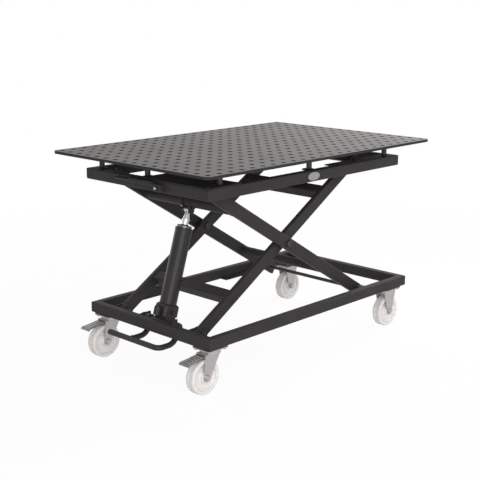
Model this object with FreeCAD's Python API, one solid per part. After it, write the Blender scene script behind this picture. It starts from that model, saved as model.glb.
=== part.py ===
"""Mobile scissor-lift assembly table with a perforated top.

Millimetres. The origin is on the floor under the centre of the table top, +Z is up,
-X is the end with the foot pedal and the braked swivel casters, and -Y is the near side.
The model stands at the height set by TABLE_HEIGHT, from which the scissor angle follows.
"""
import FreeCAD
import Part
import math
import os

V = FreeCAD.Vector

# ---------------------------------------------------------------- driving sizes
TABLE_HEIGHT = 770.0          # floor to the top of the perforated plate

PLATE_LENGTH = 1200.0
PLATE_WIDTH = 800.0
PLATE_THICK = 10.0
PLATE_CORNER_R = 20.0
GRID_PITCH = 50.0             # hole to hole, both ways
GRID_EDGE = 25.0              # outer hole row to the edge of the plate
GRID_HOLE_R = 8.0

POST_R = 10.0
POST_HEIGHT = 52.0
POST_INSET = 2                # hole rows between the posts and the edge of the plate
SPIGOT_R = 7.85
SPIGOT_SUNK = 3.5             # plate's top to the end of a spigot
LUG_LENGTH = 30.0
LUG_THICK = 6.0
PLATE_SCREW_R = 4.0
PLATE_SCREW_DEPTH = 24.0
PLATE_SCREW_HEAD_R = 6.5
PLATE_SCREW_HEAD_T = 2.6
SOCKET_AF = 5.0
SOCKET_DEPTH = 1.8
TAP_RUNOUT = 2.0              # tapped bore beyond the screw's end

FRAME_HEIGHT = 40.0           # rectangular hollow section of both frames
FRAME_TUBE_W = 30.0
FRAME_WALL = 3.0
FRAME_CORNER_R = 4.5
BASE_OVERHANG = 80.0          # base frame beyond the upper frame at the rear
CASTER_RISE = 40.0            # top of the wheels to the underside of the base frame

ARM_SET_BACK = 70.0           # upper frame's length less the arms' pivot to pivot length
ARM_HEIGHT = 45.0
ARM_THICK = 20.0
ARM_WALL = 2.5
ARM_CORNER_R = 4.0
ARM_TAIL = 26.0               # square end beyond the roller axle
ARM_EYE_R = 19.5              # round end about the fixed pivot
ARM_EYE_TAPER = 14.0
ARM_EYE_SOLID = 34.0          # forged eye, up to the start of the hollow
ARM_CAP = 3.0
ARM_INSET = 97.0              # rail's inner face to the inner face of an inner arm
ARM_GAP = 10.0                # between an inner arm and the outer arm beside it
PIVOT_INSET = 37.7            # beam's inner face to the fixed pivots

PIN_R = 8.0
BUSH_R = 11.5
SEAT_GAP = 0.02               # radial, pieces pressed or clamped together
RUN_GAP = 0.05                # radial, a pin or shaft that turns in its bore
FACE_GAP = 0.3                # side to side, between pieces that move past each other
PIN_HEAD_R = 13.0
PIN_HEAD_T = 7.5
PIN_CHAMFER = 1.5
CLEVIS_HEAD_R = 11.7
CLEVIS_HEAD_T = 4.0
CLEVIS_PIN_TIP = 4.0          # pin beyond the clevis, past its clip
CLIP_RIM = 6.0
CENTRE_NUT_AF = 24.0

LUG_PLATE_T = 5.0
BASE_LUG_R = 22.0
TABLE_LUG_R = 19.5

HIGH_RUNG_SIZE = 40.0         # square tubes between the inner arms
HIGH_RUNG_INSET = 196.0       # roller axle to the rung, along the arm
LOW_RUNG_INSET = 178.0        # fixed pivot to the rung, along the arm
RUNG_WALL = 3.0
RUNG_CORNER_R = 4.0
THRUST_TUBE_R = 21.2          # round tube between the outer arms that the jack lifts
THRUST_TUBE_INSET = 170.0     # fixed pivot to the tube, along the arm
TIE_TUBE_R = 16.85
TIE_TUBE_INSET = 202.0        # roller axle to the tube, along the arm
ROUND_TUBE_WALL = 3.2

ROLLER_R = 15.7
ROLLER_WIDTH = 20.0
ROLLER_INSET = 18.0           # rail's inner face to the middle of a roller
ROLLER_CHAMFER = 1.0
AXLE_R = 7.0
AXLE_CLEAR = 4.0              # axle's end to the rail
WASHER_R = 11.0
WASHER_T = 2.0
TRACK_THICK = 4.0
TRACK_REACH = 30.0
TRACK_LIP = 12.0
TRACK_LENGTH = 379.0          # from the upper frame's rear face

JACK_FOOT_INSET = 48.0        # front beam's inner face to the foot pin
JACK_FOOT_RISE = 7.0          # base frame's underside to the foot pin
JACK_EYE_R = 21.0
JACK_EYE_HALF_W = 31.0
JACK_EYE_SLACK = 4.0          # radial play of the foot eye on its pin
JACK_TUBE_R = 31.0
JACK_TUBE_BORE_R = 26.0
JACK_ROD_SHOWN = 66.0         # top of the tube to the upper pin
JACK_GLAND_R = 27.0
JACK_GLAND_HEIGHT = 9.0
JACK_GLAND_DEPTH = 22.0
JACK_ROD_R = 11.5
JACK_ROD_COLLAR_R = 14.0
JACK_ROD_COLLAR_T = 7.0
JACK_PISTON_T = 24.0
JACK_STROKE_SHARE = 0.655     # share of the full stroke left at the height modelled
JACK_HEAD_EYE_R = 10.0
JACK_HEAD_PIN_R = 6.0
JACK_HEAD_CLEAR = 0.5         # rod's eye to the thrust tube
JACK_NECK_R = 7.5
JACK_NECK_LENGTH = 26.0
JACK_HEAD_LUG_HALF = 14.0     # centre line to the inner face of an upper lug
JACK_HEAD_LUG_R = 13.0
JACK_HEAD_LUG_T = 6.0
PUMP_LENGTH = 70.0
PUMP_WIDTH = 64.0
PUMP_BOTTOM = 30.0            # along the jack's axis from the foot pin
PUMP_TOP = 73.0
PUMP_CORNER_R = 14.0
PUMP_SHOULDER_R = 10.0
PUMP_BARREL_R = 13.0
PUMP_BARREL_SUNK = 4.0        # depth of the flat that seats the barrel on the block
PUMP_BARREL_LENGTH = 32.0
PUMP_BARREL_DROP = 12.0       # block's top to the barrel's top
PUMP_PORT_DROP = 26.0         # block's top to the knob's and screw's axis
PUMP_KNOB_R = 12.0
PUMP_KNOB_LENGTH = 16.0
PUMP_SCREW_R = 7.0
PUMP_SCREW_LENGTH = 9.0
JACK_LUG_MID = 71.0           # centre line to the middle of a foot lug
JACK_LUG_T = 6.0
JACK_LUG_R = 20.0
SPACER_R = 12.0

PEDAL_PIVOT_INSET = 18.0      # front beam's inner face to the pedal shaft
PEDAL_PIVOT_RISE = 29.0       # base frame's underside to the pedal shaft
PEDAL_SHAFT_R = 7.0
PEDAL_BAR_R = 10.0
PEDAL_BAR_AHEAD = 41.0        # front beam's outer face to the bar
PEDAL_BAR_DROP = 31.0         # base frame's underside to the bar
PEDAL_ARM_NEAR_Y = -104.0
PEDAL_ARM_FAR_Y = 43.5
PEDAL_BAR_END_Y = 162.0
PEDAL_BAR_ROUND = 5.0
PEDAL_BEND_R = 22.0
PEDAL_RISE_R = 42.0
PEDAL_EYE_R = 13.0
PEDAL_EYE_W = 20.0
PEDAL_COLLAR_T = 6.0
PEDAL_COLLAR_R = 11.0

LEVER_PIVOT_Y = -85.0
LEVER_PIVOT_DROP = 21.0       # upper frame's top to the lever's pivot
LEVER_BRACKET_W = 40.0
LEVER_BRACKET_H = 26.0
LEVER_BRACKET_DEPTH = 20.0
LEVER_SHEET = 3.0
LEVER_BOLT_R = 4.0
LEVER_BOLT_HEAD_R = 7.5
LEVER_BOLT_HEAD_T = 4.5
LEVER_HUB_R = 10.0
LEVER_FLAT_T = 6.0
LEVER_FLAT_H = 12.0
LEVER_GRIP_START = -60.0
LEVER_GRIP_END = 62.0
LEVER_GRIP_H = 18.0
LEVER_GRIP_W = 15.0
LEVER_GRIP_ROUND = 6.0
LEVER_TANG = 10.0             # flat inside the grip
LEVER_RISE = 11.0             # grip's centre line above the pivot
LEVER_WIRE_R = 3.0
LEVER_WIRE_END = 138.0
LEVER_WIRE_HALF = 5.0
LEVER_WIRE_SUNK = 4.0
LEVER_WIRE_DROP = 2.0         # grip's centre line to the wire

CONSOLE_LENGTH = 155.0
CONSOLE_POST_GAP = 7.0        # cover plate to the post at the middle of the front beam
CONSOLE_THICK = 3.0
COVER_SCREW_HEAD_R = 7.0
COVER_SCREW_HEAD_T = 3.0
COVER_SCREW_ROUND = 1.5

BADGE_LENGTH = 61.0
BADGE_HEIGHT = 30.0
BADGE_THICK = 1.6
BADGE_X = 3.5

WHEEL_R = 62.5
WHEEL_WIDTH = 36.0
WHEEL_HUB_WIDTH = 40.0
WHEEL_HUB_R = 19.0
WHEEL_RIM_R = 49.0
WHEEL_WEB = 13.0
WHEEL_SHOULDER = 5.0
WHEEL_EDGE = 2.0              # rounding of the hub and the rim
WHEEL_CROWN = 5.4             # rounding of the tread
CASTER_SIDE_INSET = 50.0      # rail's outer face to the casters' centre line
SWIVEL_INSET = 52.0           # frame's front face to the king pins
FIXED_INSET = 63.5            # base's rear face to the fixed casters' axles
SWIVEL_TRAIL = 38.0
CASTER_AXLE_R = 6.0
CASTER_AXLE_HEAD_AF = 18.0
CASTER_AXLE_HEAD_T = 7.0
FORK_SHEET = 3.0
FORK_GAP = 0.5                # hub face to fork leg
FORK_FOOT_R = 15.0
FORK_TOP_LENGTH = 76.0
FORK_BEND_R = 2.7
SWIVEL_FORK_FRONT = 26.0      # king pin to the crown's front edge
SWIVEL_HEAD_R = 36.0
SWIVEL_HEAD_CHAMFER = 2.4
SWIVEL_RACE_R = 29.0
SWIVEL_RACE_BORE_R = 17.4
SWIVEL_RACE_H = 5.0
SWIVEL_CROWN_DROP = 11.0      # top plate's underside to the swivel crown's top
SWIVEL_HEAD_WALL = 3.0
KINGPIN_R = 6.0
KINGPIN_NUT_AF = 19.0
KINGPIN_NUT_T = 7.0
PAD_LENGTH = 92.0
PAD_WIDTH = 82.0
PAD_THICK = 6.0
CASTER_PLATE_T = 4.0
CASTER_BOLT_X = 36.0
CASTER_BOLT_Y = 31.0
CASTER_BOLT_R = 4.0
CASTER_BOLT_PLAY = 0.5
CASTER_BOLT_AF = 13.0
CASTER_BOLT_HEAD_T = 5.0

BRAKE_PIVOT_RISE = 9.0        # top of the wheel to the brake pin
BRAKE_PIN_R = 4.0
BRAKE_HUB_R = 6.4
BRAKE_REACH = 88.0            # pivot to the tip of the brake pedal
BRAKE_DROP = 6.0
BRAKE_LIP = 8.0
BRAKE_SHEET = 4.0
BRAKE_WIDTH = 38.0
BRAKE_TIP_WIDTH = 46.0

TOUCH = 0.01                  # edges closer than this lie in the same place

# ---------------------------------------------------------------- derived places
COLUMNS = int(round((PLATE_LENGTH - 2 * GRID_EDGE) / GRID_PITCH)) + 1
ROWS = int(round((PLATE_WIDTH - 2 * GRID_EDGE) / GRID_PITCH)) + 1
POST_END_X = ((COLUMNS - 1) / 2 - POST_INSET) * GRID_PITCH
POST_SIDE_Y = ((ROWS - 1) / 2 - POST_INSET) * GRID_PITCH
POST_MIDDLE_X = (COLUMNS // 2 - (COLUMNS - 1) / 2) * GRID_PITCH
POST_MIDDLE_Y = (ROWS // 2 - (ROWS - 1) / 2) * GRID_PITCH
SPIGOT_HEIGHT = PLATE_THICK - SPIGOT_SUNK

RAIL_INNER = POST_SIDE_Y + POST_R
FRAME_HALF_WIDTH = RAIL_INNER + FRAME_TUBE_W
TABLE_REAR = POST_END_X + POST_R + FRAME_TUBE_W
FRAME_FRONT = -TABLE_REAR
FRONT_INNER = FRAME_FRONT + FRAME_TUBE_W
BASE_REAR = TABLE_REAR + BASE_OVERHANG
BASE_BOTTOM = 2 * WHEEL_R + CASTER_RISE
TABLE_FRAME_TOP = TABLE_HEIGHT - PLATE_THICK - POST_HEIGHT
TRACK_START = TABLE_REAR - TRACK_LENGTH

ARM_SPAN = TABLE_REAR - FRAME_FRONT - ARM_SET_BACK
LOW_PIVOT_Z = BASE_BOTTOM + FRAME_HEIGHT / 2
HIGH_PIVOT_Z = TABLE_FRAME_TOP - FRAME_HEIGHT / 2
LIFT_ANGLE = math.degrees(math.asin((HIGH_PIVOT_Z - LOW_PIVOT_Z) / ARM_SPAN))
PIVOT_X = FRONT_INNER + PIVOT_INSET
ROLLER_X = PIVOT_X + ARM_SPAN * math.cos(math.radians(LIFT_ANGLE))
CENTRE = V((PIVOT_X + ROLLER_X) / 2, 0, (LOW_PIVOT_Z + HIGH_PIVOT_Z) / 2)
INNER_ARM_FACE = RAIL_INNER - ARM_INSET
OUTER_ARM_FACE = INNER_ARM_FACE + ARM_THICK + ARM_GAP
ROLLER_MID = RAIL_INNER - ROLLER_INSET

CASTER_Y = FRAME_HALF_WIDTH - CASTER_SIDE_INSET
SWIVEL_X = FRAME_FRONT + SWIVEL_INSET
SWIVEL_AXLE_X = SWIVEL_X - SWIVEL_TRAIL
FIXED_X = BASE_REAR - FIXED_INSET
CASTER_PLATE_TOP = BASE_BOTTOM - PAD_THICK
CASTER_PLATE_BOTTOM = CASTER_PLATE_TOP - CASTER_PLATE_T
FORK_INNER = WHEEL_HUB_WIDTH / 2 + FORK_GAP
FORK_OUTER = FORK_INNER + FORK_SHEET
BRAKE_PIVOT_Z = 2 * WHEEL_R + BRAKE_PIVOT_RISE

JACK_FOOT_X = FRONT_INNER + JACK_FOOT_INSET
JACK_FOOT_Z = BASE_BOTTOM + JACK_FOOT_RISE
PEDAL_PIVOT_X = FRONT_INNER + PEDAL_PIVOT_INSET
PEDAL_PIVOT_Z = BASE_BOTTOM + PEDAL_PIVOT_RISE
PEDAL_BAR_X = FRAME_FRONT - PEDAL_BAR_AHEAD
PEDAL_BAR_Z = BASE_BOTTOM - PEDAL_BAR_DROP
LEVER_PIVOT_Z = TABLE_FRAME_TOP - LEVER_PIVOT_DROP
CONSOLE_REAR = FRAME_FRONT + CONSOLE_LENGTH
CONSOLE_FAR = POST_MIDDLE_Y - POST_R - CONSOLE_POST_GAP
SIDES = (-1, 1)
X, Y, Z = V(1, 0, 0), V(0, 1, 0), V(0, 0, 1)


# ---------------------------------------------------------------- shape helpers
def cylinder(radius, start, direction, length):
    """A round bar of the given length, from start along direction."""
    return Part.makeCylinder(radius, length, start, direction)


def y_bar(radius, x, z, y0, y1):
    """A round bar parallel to Y between y0 and y1."""
    return cylinder(radius, V(x, min(y0, y1), z), Y, abs(y1 - y0))


def y_ring(outer, inner, x, z, y0, y1):
    """A round sleeve parallel to Y."""
    return y_bar(outer, x, z, y0, y1).cut(y_bar(inner, x, z, y0, y1))


def hexagon(across_flats, start, direction, height):
    """A hexagonal prism centred on start, extruded along a unit axis."""
    side = X if abs(direction.dot(X)) < 0.5 else Y
    radius = across_flats / math.sqrt(3)
    first = V(side.x * radius, side.y * radius, side.z * radius)
    points = [start + FreeCAD.Rotation(direction, 60 * step).multVec(first) for step in range(7)]
    return Part.Face(Part.makePolygon(points)).extrude(direction * height)


def box(x0, x1, y0, y1, z0, z1):
    """A box between two opposite corners."""
    return Part.makeBox(x1 - x0, y1 - y0, z1 - z0, V(x0, y0, z0))


def edges_along(shape, direction):
    """The straight edges of a shape that run parallel to a direction."""
    found = []
    for edge in shape.Edges:
        ends = [vertex.Point for vertex in edge.Vertexes]
        if len(ends) == 2 and (ends[1] - ends[0]).cross(direction).Length < TOUCH:
            found.append(edge)
    return found


def top_rim(shape, height):
    """The closed edge of an upright round piece at a given height."""
    return [edge for edge in shape.Edges if edge.Closed and abs(edge.BoundBox.ZMin - height) < TOUCH]


def rounded_bar(x0, x1, width, height, radius):
    """A solid bar along X, centred on the axis, with its four long edges rounded."""
    bar = box(x0, x1, -width / 2, width / 2, -height / 2, height / 2)
    return bar.makeFillet(radius, edges_along(bar, X))


def hollow_bar(x0, x1, width, height, radius, wall):
    """A rectangular hollow section along X, open at both ends."""
    outer = rounded_bar(x0, x1, width, height, radius)
    return outer.cut(rounded_bar(x0, x1, width - 2 * wall, height - 2 * wall, radius - wall))


def plate_prism(points, y0, y1):
    """A flat plate in the XZ plane, from its outline, between y0 and y1."""
    outline = [V(x, y0, z) for x, z in points]
    face = Part.Face(Part.makePolygon(outline + outline[:1]))
    return face.extrude(V(0, y1 - y0, 0))


def swept_rod(radius, edges):
    """A round rod swept along a chain of lines and tangent arcs."""
    path = Part.Wire(edges)
    start = path.OrderedVertexes[0].Point
    tangent = path.OrderedEdges[0].tangentAt(path.OrderedEdges[0].FirstParameter)
    profile = Part.Wire(Part.makeCircle(radius, start, tangent))
    return path.makePipeShell([profile], True, False)


def line(start, end):
    """A straight edge."""
    return Part.makeLine(start, end)


def arc(start, middle, end):
    """A circular edge through three points."""
    return Part.Arc(start, middle, end).toShape()


def group(shapes):
    """Separate solids that share one node."""
    return Part.makeCompound([solid for shape in shapes for solid in shape.Solids])


def mirrored(shape):
    """The same piece on the far side of the table."""
    return shape.mirror(V(0, 0, 0), Y)


def both_sides(shape):
    """A piece and its mirror image across the centre line."""
    return group([shape, mirrored(shape)])


# ---------------------------------------------------------------- frames
def frame_rail(rear, bottom, side):
    """A long frame tube with mitred ends; side is -1 near, 1 far."""
    middle_y = side * (FRAME_HALF_WIDTH - FRAME_TUBE_W / 2)
    tube = hollow_bar(FRAME_FRONT, rear, FRAME_TUBE_W, FRAME_HEIGHT, FRAME_CORNER_R, FRAME_WALL)
    tube.translate(V(0, middle_y, bottom + FRAME_HEIGHT / 2))
    outer, inner = side * FRAME_HALF_WIDTH, side * RAIL_INNER
    return tube.common(mitre_prism([
        (FRAME_FRONT, outer), (rear, outer),
        (rear - FRAME_TUBE_W, inner), (FRAME_FRONT + FRAME_TUBE_W, inner)], bottom))


def frame_beam(outer_x, inward, bottom):
    """A short frame tube with mitred ends; inward is 1 at the front, -1 at the rear."""
    tube = hollow_bar(-FRAME_HALF_WIDTH, FRAME_HALF_WIDTH,
                      FRAME_TUBE_W, FRAME_HEIGHT, FRAME_CORNER_R, FRAME_WALL)
    tube.rotate(V(0, 0, 0), Z, 90)
    inner_x = outer_x + inward * FRAME_TUBE_W
    tube.translate(V((outer_x + inner_x) / 2, 0, bottom + FRAME_HEIGHT / 2))
    return tube.common(mitre_prism([
        (outer_x, -FRAME_HALF_WIDTH), (outer_x, FRAME_HALF_WIDTH),
        (inner_x, RAIL_INNER), (inner_x, -RAIL_INNER)], bottom))


def mitre_prism(plan, bottom):
    """The plan outline of one mitred frame tube, raised to the tube's height."""
    points = [V(x, y, bottom) for x, y in plan]
    return Part.Face(Part.makePolygon(points + points[:1])).extrude(V(0, 0, FRAME_HEIGHT))


def track(rear_inner, face_z, lip_direction):
    """One roller track along a near rail: a flange with a lip welded to the rail."""
    flange_far = face_z - lip_direction * TRACK_THICK
    lip_end = face_z + lip_direction * TRACK_LIP
    outer, inner = -RAIL_INNER, -RAIL_INNER + TRACK_REACH
    flange = box(TRACK_START, rear_inner, outer, inner, min(face_z, flange_far), max(face_z, flange_far))
    lip = box(TRACK_START, rear_inner, outer, outer + TRACK_THICK / 2,
              min(face_z, lip_end), max(face_z, lip_end))
    return flange.fuse(lip).removeSplitter()


def base_tracks():
    """Angle tracks inside the base rails that carry the lower rollers."""
    return both_sides(track(BASE_REAR - FRAME_TUBE_W, BASE_BOTTOM + TRACK_THICK, 1))


def table_tracks():
    """Angle tracks inside the upper rails that rest on the upper rollers."""
    return both_sides(track(TABLE_REAR - FRAME_TUBE_W, TABLE_FRAME_TOP - TRACK_THICK, -1))


def clevis_plate(radius, pivot_x, pivot_z, y0, y1, low_z, high_z, hole_r):
    """A lug plate from the front beam's inner face, rounded about its pivot."""
    neck = box(FRONT_INNER, pivot_x, y0, y1, low_z, high_z)
    plate = neck.fuse(y_bar(radius, pivot_x, pivot_z, y0, y1)).removeSplitter()
    return plate.cut(y_bar(hole_r, pivot_x, pivot_z, y0, y1))


def clevis(arm_face, radius, pivot_z):
    """The two lug plates on either side of a near arm's fixed pivot."""
    gap_inner = arm_face - FACE_GAP
    gap_outer = arm_face + ARM_THICK + FACE_GAP
    half = min(radius, FRAME_HEIGHT / 2)
    plates = []
    for y1, y0 in ((-gap_inner + LUG_PLATE_T, -gap_inner), (-gap_outer, -gap_outer - LUG_PLATE_T)):
        plates.append(clevis_plate(radius, PIVOT_X, pivot_z, y0, y1,
                                   pivot_z - half, pivot_z + half, PIN_R + SEAT_GAP))
    return group(plates)


def clevis_pin(arm_face, pivot_z):
    """A headed pin through one near clevis, head on the outer side."""
    outer = arm_face + ARM_THICK + FACE_GAP + LUG_PLATE_T
    inner = arm_face - FACE_GAP - LUG_PLATE_T
    shank = y_bar(PIN_R, PIVOT_X, pivot_z, -inner + CLEVIS_PIN_TIP, -outer)
    head = y_bar(CLEVIS_HEAD_R, PIVOT_X, pivot_z, -outer, -outer - CLEVIS_HEAD_T)
    clip = y_bar(PIN_R + WASHER_T, PIVOT_X, pivot_z, -inner, -inner + WASHER_T)
    return shank.fuse([head, clip]).removeSplitter()


# ---------------------------------------------------------------- base
def base_lugs():
    """Lugs on the front base beam: a clevis for each inner arm and two plates for the jack."""
    arm_lugs = both_sides(clevis(INNER_ARM_FACE, BASE_LUG_R, LOW_PIVOT_Z))
    y0 = -JACK_LUG_MID - JACK_LUG_T / 2
    plate = clevis_plate(JACK_LUG_R, JACK_FOOT_X, JACK_FOOT_Z, y0, y0 + JACK_LUG_T,
                         BASE_BOTTOM, BASE_BOTTOM + FRAME_HEIGHT, PIN_R + SEAT_GAP)
    crown = y_bar(PEDAL_EYE_R, PEDAL_PIVOT_X, PEDAL_PIVOT_Z, y0, y0 + JACK_LUG_T)
    plate = plate.fuse(crown).removeSplitter()
    plate = plate.cut(y_bar(PEDAL_SHAFT_R + SEAT_GAP, PEDAL_PIVOT_X, PEDAL_PIVOT_Z, y0, y0 + JACK_LUG_T))
    return group([arm_lugs, both_sides(plate)])


def base_pins():
    """Arm foot pins, and the jack's foot pin with its spacer tubes."""
    reach = JACK_LUG_MID + JACK_LUG_T / 2
    foot_pin = y_bar(PIN_R, JACK_FOOT_X, JACK_FOOT_Z, -reach - WASHER_T, reach + WASHER_T)
    spacer = y_ring(SPACER_R, PIN_R + RUN_GAP, JACK_FOOT_X, JACK_FOOT_Z,
                    -JACK_LUG_MID + JACK_LUG_T / 2, -JACK_EYE_HALF_W - FACE_GAP)
    clips = [y_ring(PIN_R + CLIP_RIM, PIN_R + SEAT_GAP, JACK_FOOT_X, JACK_FOOT_Z,
                    side * reach, side * (reach + WASHER_T)) for side in SIDES]
    return group([both_sides(clevis_pin(INNER_ARM_FACE, LOW_PIVOT_Z)), foot_pin, both_sides(spacer)] + clips)


def pedal_shaft():
    """The shaft that the foot pedal turns on, held in the jack's lugs, with its end collars."""
    near_end = PEDAL_ARM_NEAR_Y - PEDAL_EYE_W / 2 - FACE_GAP - PEDAL_COLLAR_T
    far_end = JACK_LUG_MID + JACK_LUG_T / 2
    shaft = y_bar(PEDAL_SHAFT_R, PEDAL_PIVOT_X, PEDAL_PIVOT_Z, near_end, far_end + PEDAL_COLLAR_T / 2)
    near_collar = y_ring(PEDAL_COLLAR_R, PEDAL_SHAFT_R + SEAT_GAP, PEDAL_PIVOT_X, PEDAL_PIVOT_Z,
                         near_end, near_end + PEDAL_COLLAR_T)
    far_collar = y_ring(PEDAL_COLLAR_R, PEDAL_SHAFT_R + SEAT_GAP, PEDAL_PIVOT_X, PEDAL_PIVOT_Z,
                        far_end, far_end + PEDAL_COLLAR_T / 2)
    return group([shaft, near_collar, far_collar])


# ---------------------------------------------------------------- casters
def caster_places():
    """Plan positions of the four casters: near and far swivel, then near and far fixed."""
    return [(x, side * CASTER_Y) for x in (SWIVEL_X, FIXED_X) for side in SIDES]


def bolt_places(x, y):
    """Plan positions of one caster's four bolts."""
    return [(x + sx * CASTER_BOLT_X, y + sy * CASTER_BOLT_Y) for sx in SIDES for sy in SIDES]


def drilled_plate(x, y, top, thick, hole_r):
    """One caster pad or top plate with its bolt holes."""
    plate = box(x - PAD_LENGTH / 2, x + PAD_LENGTH / 2, y - PAD_WIDTH / 2, y + PAD_WIDTH / 2, top - thick, top)
    plate = plate.makeFillet(thick, edges_along(plate, Z))
    holes = [cylinder(hole_r, V(bx, by, top - thick), Z, thick) for bx, by in bolt_places(x, y)]
    return plate.cut(Part.makeCompound(holes))


def corner_pads():
    """Tapped pads welded under the four corners of the base frame."""
    return group([drilled_plate(x, y, BASE_BOTTOM, PAD_THICK, CASTER_BOLT_R + SEAT_GAP)
                  for x, y in caster_places()])


def caster_top_plates():
    """The casters' top plates; the swivel ones carry the upper half of the ball race."""
    plates = []
    for x, y in caster_places():
        plate = drilled_plate(x, y, CASTER_PLATE_TOP, CASTER_PLATE_T, CASTER_BOLT_R + CASTER_BOLT_PLAY)
        if x == SWIVEL_X:
            race_foot = V(x, y, CASTER_PLATE_BOTTOM - SWIVEL_RACE_H)
            race = Part.makeCone(SWIVEL_RACE_R - SWIVEL_RACE_H / 2, SWIVEL_RACE_R, SWIVEL_RACE_H, race_foot, Z)
            plate = plate.fuse(race).removeSplitter()
            plate = plate.cut(cylinder(KINGPIN_R + SEAT_GAP, race_foot, Z, SWIVEL_RACE_H + CASTER_PLATE_T))
        plates.append(plate)
    return group(plates)


def caster_bolts():
    """Hexagon bolts that clamp each caster's top plate to its pad."""
    bolts = []
    for x, y in caster_places():
        for bx, by in bolt_places(x, y):
            seat = V(bx, by, CASTER_PLATE_BOTTOM)
            shank = cylinder(CASTER_BOLT_R, seat, Z, CASTER_PLATE_T + PAD_THICK - FACE_GAP)
            bolts.append(shank.fuse(hexagon(CASTER_BOLT_AF, seat, -Z, CASTER_BOLT_HEAD_T)))
    return group(bolts)


def kingpins():
    """The pins that the swivel forks turn on, with their nuts below the fork crown."""
    pins = []
    crown_bottom = CASTER_PLATE_BOTTOM - SWIVEL_CROWN_DROP - FORK_SHEET - FACE_GAP
    for side in SIDES:
        foot = V(SWIVEL_X, side * CASTER_Y, crown_bottom)
        shank = cylinder(KINGPIN_R, foot, Z, CASTER_PLATE_TOP - crown_bottom)
        pins.append(shank.fuse(hexagon(KINGPIN_NUT_AF, foot, -Z, KINGPIN_NUT_T)))
    return group(pins)


def leg_outline(front, back, top, axle_x):
    """Outline of a fork leg in XZ: a straight top edge tapering round the axle."""
    axle = V(axle_x, 0, WHEEL_R)
    points = [(front, top), (back, top)]
    for corner_x, turn in ((back, -1), (front, 1)):
        away = V(corner_x, 0, top) - axle
        bearing = math.atan2(away.z, away.x) - turn * math.acos(FORK_FOOT_R / away.Length)
        points.append((axle.x + FORK_FOOT_R * math.cos(bearing), axle.z + FORK_FOOT_R * math.sin(bearing)))
    return points


def fork(x, y, axle_x, crown_top, back, front):
    """A pressed-steel fork: crown plate, two tapered legs and the axle bolt holes."""
    crown = box(x + back, x + front, y - FORK_OUTER, y + FORK_OUTER, crown_top - FORK_SHEET, crown_top)
    outline = leg_outline(x + front, x + back, crown_top, axle_x)
    legs = []
    for side in SIDES:
        y0 = y + min(side * FORK_INNER, side * FORK_OUTER)
        leg = plate_prism(outline, y0, y0 + FORK_SHEET)
        legs.append(leg.fuse(y_bar(FORK_FOOT_R, axle_x, WHEEL_R, y0, y0 + FORK_SHEET)))
    body = crown.fuse(legs).removeSplitter()
    bends = [edge for edge in edges_along(body, X)
             if edge.BoundBox.ZMin > crown_top - TOUCH and abs(abs(edge.BoundBox.YMin - y) - FORK_OUTER) < TOUCH]
    body = body.makeFillet(FORK_BEND_R, bends)
    return body.cut(y_bar(CASTER_AXLE_R + SEAT_GAP, axle_x, WHEEL_R, y - FORK_OUTER, y + FORK_OUTER))


def caster_axle(axle_x, y):
    """An axle bolt with a hexagon head and nut outside the fork legs."""
    shank = y_bar(CASTER_AXLE_R, axle_x, WHEEL_R, y - FORK_OUTER, y + FORK_OUTER)
    ends = [hexagon(CASTER_AXLE_HEAD_AF, V(axle_x, y + side * FORK_OUTER, WHEEL_R), Y * side, CASTER_AXLE_HEAD_T)
            for side in SIDES]
    return shank.fuse(ends).removeSplitter()


def fixed_forks():
    """The rear casters' forks, welded to their top plates, with their axles."""
    pieces = []
    for side in SIDES:
        y = side * CASTER_Y
        half = FORK_TOP_LENGTH / 2
        pieces.append(fork(FIXED_X, y, FIXED_X, CASTER_PLATE_BOTTOM, -half, half))
        pieces.append(caster_axle(FIXED_X, y))
    return group(pieces)


def swivel_fork(side):
    """A front caster's trailing fork with its bearing head, axle and brake pin."""
    y = side * CASTER_Y
    crown_top = CASTER_PLATE_BOTTOM - SWIVEL_CROWN_DROP
    body = fork(SWIVEL_X, y, SWIVEL_AXLE_X, crown_top, -SWIVEL_TRAIL - BRAKE_HUB_R, SWIVEL_FORK_FRONT)
    foot = V(SWIVEL_X, y, crown_top)
    head_h = SWIVEL_CROWN_DROP - FACE_GAP
    dish = cylinder(SWIVEL_HEAD_R, foot, Z, head_h)
    dish = dish.makeChamfer(SWIVEL_HEAD_CHAMFER, [dish.Edges[0]])
    hollow_r = SWIVEL_HEAD_R - SWIVEL_HEAD_WALL
    dish = dish.cut(cylinder(hollow_r, foot + Z * SWIVEL_HEAD_WALL, Z, head_h))
    floor = cylinder(SWIVEL_HEAD_R, foot - Z * FORK_SHEET, Z, FORK_SHEET)
    body = body.fuse([dish, floor]).removeSplitter()
    body = body.cut(cylinder(KINGPIN_R + RUN_GAP, foot - Z * FORK_SHEET, Z, FORK_SHEET + SWIVEL_HEAD_WALL))
    bore = y_bar(BRAKE_PIN_R + SEAT_GAP, SWIVEL_AXLE_X, BRAKE_PIVOT_Z, y - FORK_OUTER, y + FORK_OUTER)
    reach = FORK_OUTER + WASHER_T / 2
    pin = y_bar(BRAKE_PIN_R, SWIVEL_AXLE_X, BRAKE_PIVOT_Z, y - reach, y + reach)
    race_h = head_h - SWIVEL_HEAD_WALL - SWIVEL_RACE_H - FACE_GAP
    race = cylinder(SWIVEL_RACE_R, foot + Z * SWIVEL_HEAD_WALL, Z, race_h)
    race = race.cut(cylinder(SWIVEL_RACE_BORE_R, foot, Z, head_h))
    return group([body.cut(bore), race, pin, caster_axle(SWIVEL_AXLE_X, y)])


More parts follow.
